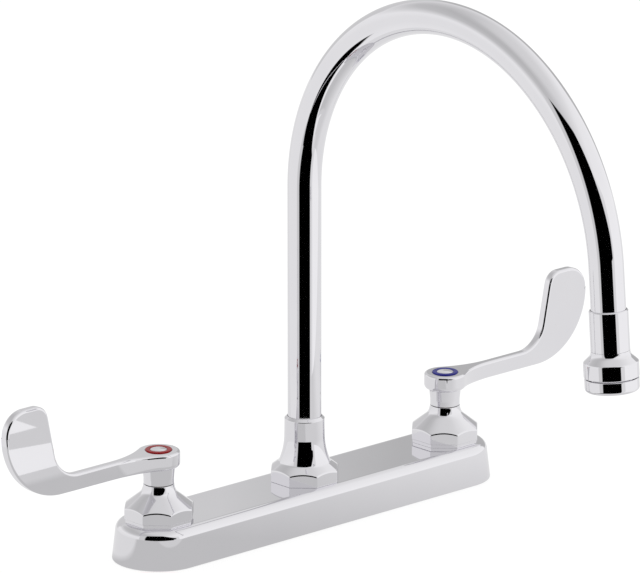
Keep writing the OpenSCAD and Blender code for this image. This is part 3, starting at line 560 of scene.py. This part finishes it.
def upper_edge(x):
    """The handle's upper outline seen from the front, and the way that it faces there."""
    crook_end = crook[0] + crook_r * math.cos(lean_in)
    corner_start = corner[0] - corner_r * math.cos(lean_in)
    if x <= crook[0]:
        return hub_top, (0.0, 1.0)
    if x <= crook_end:
        z = crook[1] - math.sqrt(max(0.0, crook_r ** 2 - (x - crook[0]) ** 2))
        return z, ((crook[0] - x) / crook_r, (crook[1] - z) / crook_r)
    if x < corner_start:
        low = crook[1] - crook_r * math.sin(lean_in)
        return low + (x - crook_end) / math.tan(lean_in), (-math.cos(lean_in), math.sin(lean_in))
    if x <= corner[0]:
        z = corner[1] + math.sqrt(max(0.0, corner_r ** 2 - (x - corner[0]) ** 2))
        return z, ((x - corner[0]) / corner_r, (z - corner[1]) / corner_r)
    if x <= tip[0]:
        return tip[1] + tip_r, (0.0, 1.0)
    z = tip[1] + math.sqrt(max(0.0, tip_r ** 2 - (x - tip[0]) ** 2))
    return z, ((x - tip[0]) / tip_r, (z - tip[1]) / tip_r)


def lower_edge(x):
    """The handle's lower outline, and the way that it faces."""
    if x <= heel[0]:
        return arm_low, (0.0, -1.0)
    z = heel[1] - math.sqrt(max(0.0, heel_r ** 2 - (x - heel[0]) ** 2))
    return z, ((x - heel[0]) / heel_r, (z - heel[1]) / heel_r)


# Where the handle's section is taken, from the hub's back to the blade's tip: close together on the
# rounds and far apart on the flats.
stations = [-hub_r * math.cos(math.radians(a)) for a in np.linspace(0, 120.8, 61)]
stations = [x for x in stations if x < flare_start - 0.2] + list(np.linspace(flare_start, flare_end, 16))
stations += [36.0, 42.0, 48.0, 53.0, crook[0] - 0.15, crook[0]]
stations += [crook[0] + crook_r * math.cos(math.radians(a)) for a in np.linspace(-87, -11.6, 24)]
stations += list(np.linspace(71.4, 75.4, 10))
stations += [corner[0] - corner_r * math.cos(math.radians(a)) for a in np.linspace(11.6, 90, 18)]
stations += list(np.linspace(85, tip[0], 4))
stations += [tip[0] + tip_r * math.sin(math.radians(a)) for a in np.linspace(3, 90, 26)]
stations += [heel[0] + heel_r * math.sin(math.radians(a)) for a in (0, 1, 4, 7)]
stations = sorted(set(round(float(x), 4) for x in stations if x <= tip[0] + tip_r))
stations[-1] = tip[0] + tip_r


def roll_at(x, under):
    """The radius of the rolled edge: wider under the hub than along the arm."""
    if not under:
        return 1.35
    share = min(max((x - 4.0) / 22.0, 0.0), 1.0)
    share = share * share * (3 - 2 * share)
    return 2.6 * (1 - share) + 0.9 * share


def rim_points(x, sign, under, steps=7):
    """The rolled edge at a station, from the side face over to the upper or lower face."""
    half, (px, py) = half_width(x)
    z, (ex, ez) = (lower_edge if under else upper_edge)(x)
    r = min(roll_at(x, under), 2.49)
    points = []
    for k in range(-1, steps + 2):
        t = math.pi / 2 * min(max(k, 0), steps) / steps
        in_plan, in_edge = r * (1 - math.cos(t)), r * (1 - math.sin(t))
        in_edge += 0.14 if k == -1 else 0
        in_plan += 0.14 if k == steps + 1 else 0
        in_plan = min(in_plan, half) if abs(px) < 0.999 and half < r else in_plan
        points.append((
            x - in_plan * px - in_edge * ex, sign * (half - in_plan * py), z - in_edge * ez))
    return points


def handle(side):
    """The parts of one handle's mesh, with the bores for its index button, stem and screw, and its place.
    The flat faces round the hub's bore and skirt are filled on their own, in place of the long quads."""
    rings = []
    for x in stations:
        ring = rim_points(x, 1, False) + rim_points(x, -1, False)[::-1]
        ring += rim_points(x, -1, True) + rim_points(x, 1, True)[::-1]
        rings.append(ring)
    points, faces = band(rings)
    quarter = len(rings[0]) // 4
    flat_to = stations.index(round(crook[0] - 0.15, 4))
    n = len(rings[0])
    top_seam, low_seam = quarter - 1, 3 * quarter - 1
    kept = [f for f in faces if not (
        (f[0] % n in (top_seam, low_seam)) and f[0] // n < flat_to)]
    parts = [(points, kept)]
    for seam, hole in ((top_seam, ring_of(index_bore, hub_top)), (low_seam, ring_of(skirt_r, arm_low))):
        one = [rings[i][seam] for i in range(flat_to + 1)]
        two = [rings[i][seam + 1] for i in range(flat_to + 1)]
        outline = one + two[::-1][:-1]
        parts.append(filled(outline, [hole]))
    turned = [(index_bore, hub_top), (index_bore, 34.8), (4.1, 34.8), (4.1, 31.9), (2.1, 31.9),
              (2.1, 29.5), (4.4, 29.5), (4.4, 21.0), (5.1, 20.8), (5.1, 19.75)]
    turned += rounded([
        (5.2, skirt_foot, 0), (7.85, skirt_foot, 0.2), (7.85, 22.6, 9.0), (skirt_r, arm_low, 0)],
        steps=8)[1:]
    parts.append(band([ring_of(r, z) for r, z in turned]))
    place = Matrix.Translation((side * valve_x, 0, cover_top)) @ Matrix.Diagonal((side, 1, 1, 1))
    return parts, place


for name, side in sides:
    parts, place = handle(side)
    lever = mesh(f"{name}_lever_handle", parts, polished_chrome, place, crease=35)
    stands_for(lever, f"{name}_lever", "chrome", f"{name}_handle")

# The index buttons.
# A glossy ring on top of each hub, red for hot and blue for cold, round a small chromed dome. The button
# snaps into the hub and covers the handle screw.


def glossy_enamel(name, deep, bright):
    """Glossy enamel: an even, saturated colour, a little deeper where it pools, under a clear gloss."""
    finish, tree, _, _, tone = mottled(name, 300.0, 2.0, deep, bright)
    end_in_surface(tree, tone, {"Roughness": 0.2, "IOR": 1.5, "Specular IOR Level": 0.2})
    return finish


enamels = {
    "hot": ("red", glossy_enamel("red_enamel", "#84060E", "#960C16")),
    "cold": ("blue", glossy_enamel("blue_enamel", "#1A1A74", "#222488")),
}
hub_z = cover_top + hub_top
ring_r, ring_bore, ring_rise, ring_foot = 6.9, 4.4, 0.55, 1.6
dome_r, dome_rise, dome_foot, flange_r, flange_foot = 4.3, 0.7, 0.4, 7.0, 2.4
for name, side in sides:
    x = side * valve_x
    colour, enamel = enamels[name]
    line = rounded([
        (ring_r, hub_z - ring_foot, 0), (ring_r, hub_z + ring_rise, 0.45),
        (ring_bore, hub_z + ring_rise, 0.35), (ring_bore, hub_z - ring_foot, 0)], steps=6, beside=0.1)
    ring = mesh(f"{name}_index_button_ring", [band([ring_of(r, z, x) for r, z in line], shut=True)],
                enamel)
    stands_for(ring, f"{name}_lever", f"{colour}_enamel", f"{name}_index_ring")

    # The dome is the top of a ball, pressed out of a thin flange that sits under the ring.
    ball = (dome_r ** 2 + dome_rise ** 2) / (2 * dome_rise)
    line = [(flange_r, hub_z - flange_foot), (flange_r, hub_z - ring_foot), (dome_r, hub_z - ring_foot),
            (dome_r, hub_z + 0.34)]
    for k in range(1, 12):
        r = dome_r * (1 - k / 12)
        line.append((r, hub_z + dome_foot + math.sqrt(ball ** 2 - r ** 2) - ball + dome_rise))
    line += [(0.0, hub_z + dome_foot + dome_rise), (0.0, hub_z - flange_foot)]
    dome = mesh(f"{name}_index_button_dome", [band([ring_of(r, z, x) for r, z in line], shut=True)],
                polished_chrome)
    stands_for(dome, f"{name}_lever", "chrome", f"{name}_index_cap")

# The gooseneck.
# One length of chromed brass tube, 17.7 mm across: straight up out of the bell, over in a wide arch, and
# down in a second, wider bend to a short straight leg that leans a little outward.
tube_r, tube_bore = 8.82, 7.65
riser_low, riser_top = 28.97, 178.4
bend_r, bend_end = 107.1, math.radians(59.8)
tail_r, lean = 117.3, math.radians(4.9)
tail = (bend_r + (bend_r - tail_r) * math.cos(bend_end),
        riser_top + (bend_r - tail_r) * math.sin(bend_end))
leg = (tail[0] + tail_r * math.cos(lean), tail[1] + tail_r * math.sin(lean))
outlet_l, leg_l, tube_stop = 41.1, 61.9, 23.8

# The tube's centre line, as reach towards the user, height and the way that the tube's outer side faces.
path = [(0.0, z, math.pi) for z in (riser_low, 60.0, 100.0, 140.0, riser_top - 0.3)]
for k in range(81):
    t = math.pi - (math.pi - bend_end) * k / 80
    path.append((bend_r + bend_r * math.cos(t), riser_top + bend_r * math.sin(t), t))
for k in range(1, 37):
    t = bend_end - (bend_end - lean) * k / 36
    path.append((tail[0] + tail_r * math.cos(t), tail[1] + tail_r * math.sin(t), t))
for run in (0.3, 10.0, leg_l - outlet_l + tube_stop):
    path.append((leg[0] + run * math.sin(lean), leg[1] - run * math.cos(lean), lean))


def tube_ring(reach, z, facing, r, count=96):
    """A circle round the tube's path, square to it. The spout points at the user, to -Y."""
    loop = []
    for k in range(count):
        t = 2 * math.pi * k / count
        out = reach + r * math.cos(t) * math.cos(facing)
        loop.append((r * math.sin(t), -out, z + r * math.cos(t) * math.sin(facing)))
    return loop


rings = [tube_ring(a, z, t, tube_r) for a, z, t in path]
rings += [tube_ring(a, z, t, tube_bore) for a, z, t in path[::-1]]
gooseneck = mesh("gooseneck_tube", [band(rings, shut=True)], polished_chrome)
stands_for(gooseneck, "spout", "chrome", "spout_tube")

# The outlet.
# A sleeve covers the tube's end and runs without a step into the flared nozzle. The aerator's housing
# screws into the nozzle behind a fine groove. All three are turned from brass and chromed.
start = leg_l - outlet_l
down = Vector((0, -math.sin(lean), -math.cos(lean)))
across = Vector((1, 0, 0))
third = down.cross(across)
origin = Vector((0, -leg[0] - start * math.sin(lean), leg[1] - start * math.cos(lean)))
outlet_place = Matrix((
    (across.x, third.x, down.x, origin.x),
    (across.y, third.y, down.y, origin.y),
    (across.z, third.z, down.z, origin.z),
    (0, 0, 0, 1),
))

# Heights along the outlet run down from the sleeve's top.
sleeve_end, collar_start, collar_end, housing_start, outlet_end = 20.8, 26.0, 34.0, 34.4, 41.1
sleeve_r, sleeve_bore, nozzle_r, nozzle_bore, housing_r, housing_bore = 9.85, 8.95, 13.9, 11.2, 13.7, 8.8

line = rounded([
    (sleeve_bore, 4.0, 0), (sleeve_bore, 0.0, 0.12), (9.45, 0.0, 0.1), (sleeve_r, 0.5, 0.1),
    (sleeve_r, sleeve_end, 0), (sleeve_bore, sleeve_end, 0)], steps=5, beside=0.1)
rings = [ring_of(r, z) for r, z in line]
sleeve = mesh("outlet_sleeve_turned", [band(rings, shut=True)], polished_chrome, outlet_place)
stands_for(sleeve, "spout", "chrome", "outlet_sleeve")

line = rounded([
    (sleeve_bore, sleeve_end, 0), (sleeve_r, sleeve_end, 0), (sleeve_r, sleeve_end + 1.7, 4.2),
    (nozzle_r, collar_start + 0.25, 1.1), (nozzle_r, collar_end, 0.55), (nozzle_bore, collar_end, 0.2),
    (nozzle_bore, 27.0, 0), (tube_bore, 27.0, 0), (tube_bore, tube_stop, 0),
    (sleeve_bore, tube_stop, 0)], steps=9)
nozzle = mesh("outlet_nozzle_turned", [band([ring_of(r, z) for r, z in line], shut=True)],
              polished_chrome, outlet_place)
stands_for(nozzle, "spout", "chrome", "outlet_nozzle")

line = rounded([
    (9.6, 28.5, 0), (11.1, 28.5, 0.3), (11.1, housing_start, 0), (housing_r, housing_start, 0.5),
    (housing_r, outlet_end, 2.0), (housing_bore, outlet_end, 0.4), (housing_bore, 39.2, 0.2),
    (9.6, 39.2, 0)], steps=9)
housing = mesh("aerator_housing_turned", [band([ring_of(r, z) for r, z in line], shut=True)],
               polished_chrome, outlet_place)
stands_for(housing, "spout", "chrome", "aerator_housing")

# The aerator's insert.
# A plastic disc with a ring of jets breaks up the water, and a woven stainless screen below it mixes in
# air. A rubber washer seals the stack against the nozzle.
coat("rubber", moulded_rubber, "aerator_washer")
coat("former_plastic", natural_acetal, "flow_former")

# Wires laid side by side, each as long as the screen is wide there, and the same again across them. A real
# screen's mesh is finer, and this one is drawn coarse enough to show.
weave, given = geometry_tree("screen_wires", (
    ("Frame", "Geometry", None), ("Radius", "Float", 0.0091), ("Spacing", "Float", 0.0009),
    ("Wire", "Float", 0.00013), ("Finish", "Material", None)))
spans = add(weave, "ShaderNodeMath", {0: given.outputs["Radius"], 1: 2.0}, operation="MULTIPLY")
gaps = add(weave, "ShaderNodeMath", {0: spans.outputs[0], 1: given.outputs["Spacing"]}, operation="DIVIDE")
wires = add(weave, "ShaderNodeMath", {0: gaps.outputs[0]}, operation="FLOOR")
first = add(weave, "ShaderNodeMath", {0: wires.outputs[0], 1: -0.5}, operation="MULTIPLY")
offset = add(weave, "ShaderNodeMath", {
    0: first.outputs[0], 1: given.outputs["Spacing"]}, operation="MULTIPLY")
count_of = add(weave, "ShaderNodeMath", {0: wires.outputs[0], 1: 1.0}, operation="ADD")
begin = add(weave, "ShaderNodeCombineXYZ", {"Y": offset.outputs[0]})
pitch = add(weave, "ShaderNodeCombineXYZ", {"Y": given.outputs["Spacing"]})
row = add(weave, "GeometryNodeMeshLine", {
    "Count": count_of.outputs[0], "Start Location": begin.outputs[0], "Offset": pitch.outputs[0]},
    mode="OFFSET")
spot = add(weave, "GeometryNodeInputPosition")
parts_of = add(weave, "ShaderNodeSeparateXYZ", {0: spot.outputs[0]})
share = add(weave, "ShaderNodeMath", {
    0: parts_of.outputs["Y"], 1: given.outputs["Radius"]}, operation="DIVIDE")
square = add(weave, "ShaderNodeMath", {0: share.outputs[0], 1: 2.0}, operation="POWER")
rest = add(weave, "ShaderNodeMath", {0: 1.0, 1: square.outputs[0]}, operation="SUBTRACT")
chord = add(weave, "ShaderNodeMath", {0: rest.outputs[0]}, operation="SQRT")
length = add(weave, "ShaderNodeMath", {0: chord.outputs[0], 1: spans.outputs[0]}, operation="MULTIPLY")
stretch = add(weave, "ShaderNodeCombineXYZ", {"X": 1.0, "Y": 1.0, "Z": length.outputs[0]})
wire = add(weave, "GeometryNodeMeshCylinder", {
    "Vertices": 6, "Radius": given.outputs["Wire"], "Depth": 1.0})
laid = add(weave, "GeometryNodeInstanceOnPoints", {
    "Points": row.outputs["Mesh"], "Instance": wire.outputs["Mesh"],
    "Rotation": (0, math.pi / 2, 0), "Scale": stretch.outputs[0]})
turned_wires = add(weave, "GeometryNodeTransform", {
    "Geometry": laid.outputs["Instances"], "Rotation": (0, 0, math.pi / 2),
    "Translation": (0, 0, 0.00022)})
joined = add(weave, "GeometryNodeJoinGeometry")
for source in (laid.outputs["Instances"], turned_wires.outputs["Geometry"], given.outputs["Frame"]):
    weave.links.new(source, joined.inputs["Geometry"])
real = add(weave, "GeometryNodeRealizeInstances", {"Geometry": joined.outputs["Geometry"]})
coated = add(weave, "GeometryNodeSetMaterial", {
    "Geometry": real.outputs["Geometry"], "Material": given.outputs["Finish"]})
add(weave, "NodeGroupOutput", {"Result": coated.outputs["Geometry"]})

screen_z = 38.65
line = [(9.5, -0.05), (9.5, 0.5), (9.0, 0.5), (9.0, -0.05)]
screen = mesh("aerator_screen", [band([ring_of(r, z) for r, z in line], shut=True)], plain_stainless)
with_tree(screen, weave, **{"Finish": plain_stainless})
screen.data.transform(Matrix.Diagonal((0.001, 0.001, 0.001, 1)) @ outlet_place
                      @ Matrix.Translation((0, 0, screen_z)) @ Matrix.Diagonal((1000, 1000, 1000, 1)))
stands_for(screen, "spout", "screen_steel", "outlet_screen")

# The studio.
# The camera and matt surfaces see a white floor in an even white room. The metal alone sees a studio tuned
# to the photograph: dark flags that it mirrors as black stripes, grey cards, and a floor that isn't real.
white_sweep, tree = finish_named("white_studio_sweep")
paper = add(tree, "ShaderNodeBsdfDiffuse", {"Color": linear("#8A8A8A")})
glow = add(tree, "ShaderNodeEmission", {"Color": (1, 1, 1, 1), "Strength": 0.8})
seen = add(tree, "ShaderNodeAddShader", {0: paper.outputs["BSDF"], 1: glow.outputs["Emission"]})
place = add(tree, "ShaderNodeTexCoord")
spot = add(tree, "ShaderNodeSeparateXYZ", {0: place.outputs["Object"]})
x, y = spot.outputs["X"], spot.outputs["Y"]

# The floor's shade in the metal, by place in metres: darker in a strip in front of the cover, and most so
# at the hot side.
across_shade = add(tree, "ShaderNodeMapRange", {
    "Value": x, "From Min": -0.03, "From Max": 0.18, "To Min": 0.62, "To Max": 0.87})
behind_shade = add(tree, "ShaderNodeMapRange", {
    "Value": y, "From Min": -0.03, "From Max": 0.03, "To Min": 0.0, "To Max": 0.84})
front_shade = add(tree, "ShaderNodeMapRange", {
    "Value": y, "From Min": -0.15, "From Max": -0.1, "To Min": 0.74, "To Max": 0.0})
shades = across_shade.outputs["Result"]
for other in (front_shade, behind_shade):
    lighter = add(tree, "ShaderNodeMath", {0: shades, 1: other.outputs["Result"]}, operation="MAXIMUM")
    shades = lighter.outputs[0]

# A mirrored ray longer than this sees no floor past the limits below, but the flags under it. The limit at
# the side moves out for the longest rays, but not far in front.
floor_seen_to, far_front, side_end, near_front, moved_front = 0.1905, -0.27, -0.1, -0.16, -0.22
path_of = add(tree, "ShaderNodeLightPath")
ray = path_of.outputs["Ray Length"]
far = add(tree, "ShaderNodeMath", {0: ray, 1: floor_seen_to}, operation="GREATER_THAN")
long_ray = add(tree, "ShaderNodeMapRange", {
    "Value": ray, "From Min": 0.26, "From Max": 0.27, "To Min": 0.0, "To Max": -0.045})
beside = add(tree, "ShaderNodeMath", {0: y, 1: moved_front}, operation="GREATER_THAN")
side_limit = add(tree, "ShaderNodeMath", {
    0: long_ray.outputs["Result"], 1: beside.outputs[0]}, operation="MULTIPLY")
gone = far.outputs[0]
for side_x, front_y in ((side_limit.outputs[0], far_front), (side_end, near_front)):
    past_side = add(tree, "ShaderNodeMath", {0: x, 1: side_x}, operation="LESS_THAN")
    past_front = add(tree, "ShaderNodeMath", {0: y, 1: front_y}, operation="LESS_THAN")
    past = add(tree, "ShaderNodeMath", {
        0: past_side.outputs[0], 1: past_front.outputs[0]}, operation="MAXIMUM")
    both = add(tree, "ShaderNodeMath", {0: gone, 1: past.outputs[0]}, operation="MULTIPLY")
    gone = both.outputs[0]
mirrored = add(tree, "ShaderNodeEmission", {"Strength": shades})
clear = add(tree, "ShaderNodeBsdfTransparent")
near_only = add(tree, "ShaderNodeMixShader", {
    0: gone, 1: mirrored.outputs["Emission"], 2: clear.outputs["BSDF"]})
both = add(tree, "ShaderNodeMixShader", {
    0: path_of.outputs["Is Glossy Ray"], 1: seen.outputs["Shader"], 2: near_only.outputs["Shader"]})
add(tree, "ShaderNodeOutputMaterial", {"Surface": both.outputs["Shader"]})
floor_data = bpy.data.meshes.new("studio_floor")
floor_reach, floor_z = 6, -0.0004
floor_data.from_pydata([
    (i * floor_reach, j * floor_reach, floor_z) for i, j in ((-1, -1), (1, -1), (1, 1), (-1, 1))],
    [], [(0, 1, 2, 3)])
placed("studio_floor", floor_data, white_sweep)

towards = Vector((back.x, back.y, 0)).normalized()
leftwards = Vector((-right.x, -right.y, 0))


def upright(u, left, right_end, low, high):
    """The corners of an upright rectangle that faces the faucet, in the measures of a card."""
    return [(u, left, low), (u, right_end, low), (u, right_end, high), (u, left, high)]


def card(name, outline, strength, soft, right_strength=None, again=None):
    """A card by its corners, as metres towards the camera, leftwards and up. Its edge fades out. It can
    change over to another strength at the right, and show another in a reflection of a reflection."""
    corners = [towards * u + leftwards * w + Vector((0, 0, z)) for u, w, z in outline]
    middle = sum(corners, Vector()) / len(corners)
    inner = [middle + (p - middle) * (1 - soft) for p in corners]
    n = len(corners)
    faces = [(i, (i + 1) % n, n + (i + 1) % n, n + i) for i in range(n)] + [tuple(range(n, 2 * n))]
    data = bpy.data.meshes.new(name)
    data.from_pydata(corners + inner, [], faces)
    cover = data.attributes.new("cover", "FLOAT", "POINT")
    cover.data.foreach_set("value", [0.0] * n + [1.0] * n)
    finish, tree = finish_named(name)
    part = add(tree, "ShaderNodeAttribute", attribute_name="cover")
    lit = add(tree, "ShaderNodeEmission", {"Strength": strength})
    if right_strength is not None:
        place = add(tree, "ShaderNodeTexCoord")
        along = add(tree, "ShaderNodeVectorMath", {
            0: place.outputs["Object"], 1: tuple(right)}, operation="DOT_PRODUCT")
        change = add(tree, "ShaderNodeMapRange", {
            "Value": along.outputs["Value"], "From Min": -0.09, "From Max": 0.09,
            "To Min": strength, "To Max": right_strength})
        tree.links.new(change.outputs["Result"], lit.inputs["Strength"])
    if again is not None:
        path = add(tree, "ShaderNodeLightPath")
        deep = add(tree, "ShaderNodeMath", {
            0: path.outputs["Glossy Depth"], 1: 1.5}, operation="GREATER_THAN")
        change = add(tree, "ShaderNodeMapRange", {
            "Value": deep.outputs[0], "To Min": strength, "To Max": again})
        tree.links.new(change.outputs["Result"], lit.inputs["Strength"])
    clear = add(tree, "ShaderNodeBsdfTransparent")
    mixed = add(tree, "ShaderNodeMixShader", {
        0: part.outputs["Fac"], 1: clear.outputs["BSDF"], 2: lit.outputs["Emission"]})
    add(tree, "ShaderNodeOutputMaterial", {"Surface": mixed.outputs["Shader"]})
    piece = placed(name, data, finish)
    for sight in ("camera", "diffuse", "transmission", "volume_scatter", "shadow"):
        setattr(piece, f"visible_{sight}", False)


card("dark_flag_upright", [
    (2.5, 1.9, -2.0), (2.5, -2.0, -2.0), (2.5, -2.0, -0.01), (2.5, -2.6, 0.05), (2.5, -2.5, 0.6),
    (2.5, -1.4, 1.6), (2.5, -0.4, 2.75), (2.5, 1.9, 2.75)],
    0.0, 0.06, again=0.72)
card("dark_flag_low", [
    (0.1, 2.2, -1.5), (2.9, 2.2, -1.5), (2.9, -2.1, -1.5), (2.1, -1.3, -1.5), (1.35, 0.0, -1.5),
    (1.0, 0.45, -1.5), (0.5, 0.9, -1.5), (0.2, 1.3, -1.5)], 0.0, 0.08, again=0.72)
card("grey_card_left", upright(2.6, 3.4, 1.3, -2.5, 2.6), 0.7, 0.2)
card("grey_card_right", upright(2.6, -1.4, -3.6, -3.6, 2.0), 0.82, 0.1)
card("grey_card_back", upright(-3, 3.0, -3.0, -0.2, 1.9), 0.69, 0.2, 0.52)

# The room as the metal sees it: greyer to the left and high up, white to the right and low down. The
# camera and matt surfaces see it plain white.
world = bpy.data.worlds.new("white_room")
bpy.context.scene.world = world
world.use_nodes = True
tree = world.node_tree
tree.nodes.clear()
sight = add(tree, "ShaderNodeTexCoord")
height = add(tree, "ShaderNodeSeparateXYZ", {0: sight.outputs["Generated"]})
lifted = add(tree, "ShaderNodeMapRange", {
    "Value": height.outputs["Z"], "From Min": -1.0, "From Max": 1.0, "To Min": 0.0, "To Max": 1.0})
rightness = add(tree, "ShaderNodeVectorMath", {
    0: sight.outputs["Generated"], 1: tuple(right)}, operation="DOT_PRODUCT")
side_share = add(tree, "ShaderNodeMapRange", {
    "Value": rightness.outputs["Value"], "From Min": -0.5, "From Max": 0.6})


def by_height(stops):
    """A ramp of grey over the height of a direction, from straight down at 0 to straight up at 1."""
    ramp = add(tree, "ShaderNodeValToRGB", {"Fac": lifted.outputs["Result"]})
    for height_of, _ in stops[1:-1]:
        ramp.color_ramp.elements.new(height_of)
    for element, (height_of, grey) in zip(ramp.color_ramp.elements, stops):
        element.position, element.color = height_of, (grey, grey, grey, 1)
    return ramp.outputs["Color"]


left_room = by_height([
    (0, 0.97), (0.3, 0.9), (0.5, 0.9), (0.64, 0.95), (0.78, 0.62), (0.88, 0.56), (0.93, 0.6), (1, 0.76)])
right_room = by_height([(0, 0.97), (0.5, 1.03), (0.85, 0.97), (0.95, 0.9), (1, 0.78)])
tone = add(tree, "ShaderNodeMix", {
    "Factor": side_share.outputs["Result"], "A": left_room, "B": right_room}, data_type="RGBA")
path_of = add(tree, "ShaderNodeLightPath")
shown = add(tree, "ShaderNodeMix", {
    "Factor": path_of.outputs["Is Glossy Ray"], "A": (1, 1, 1, 1), "B": tone.outputs["Result"]},
    data_type="RGBA")
room = add(tree, "ShaderNodeBackground", {"Color": shown.outputs["Result"], "Strength": 1.0})
add(tree, "ShaderNodeOutputWorld", {"Surface": room.outputs["Background"]})

bpy.context.scene.view_settings.view_transform = "Standard"
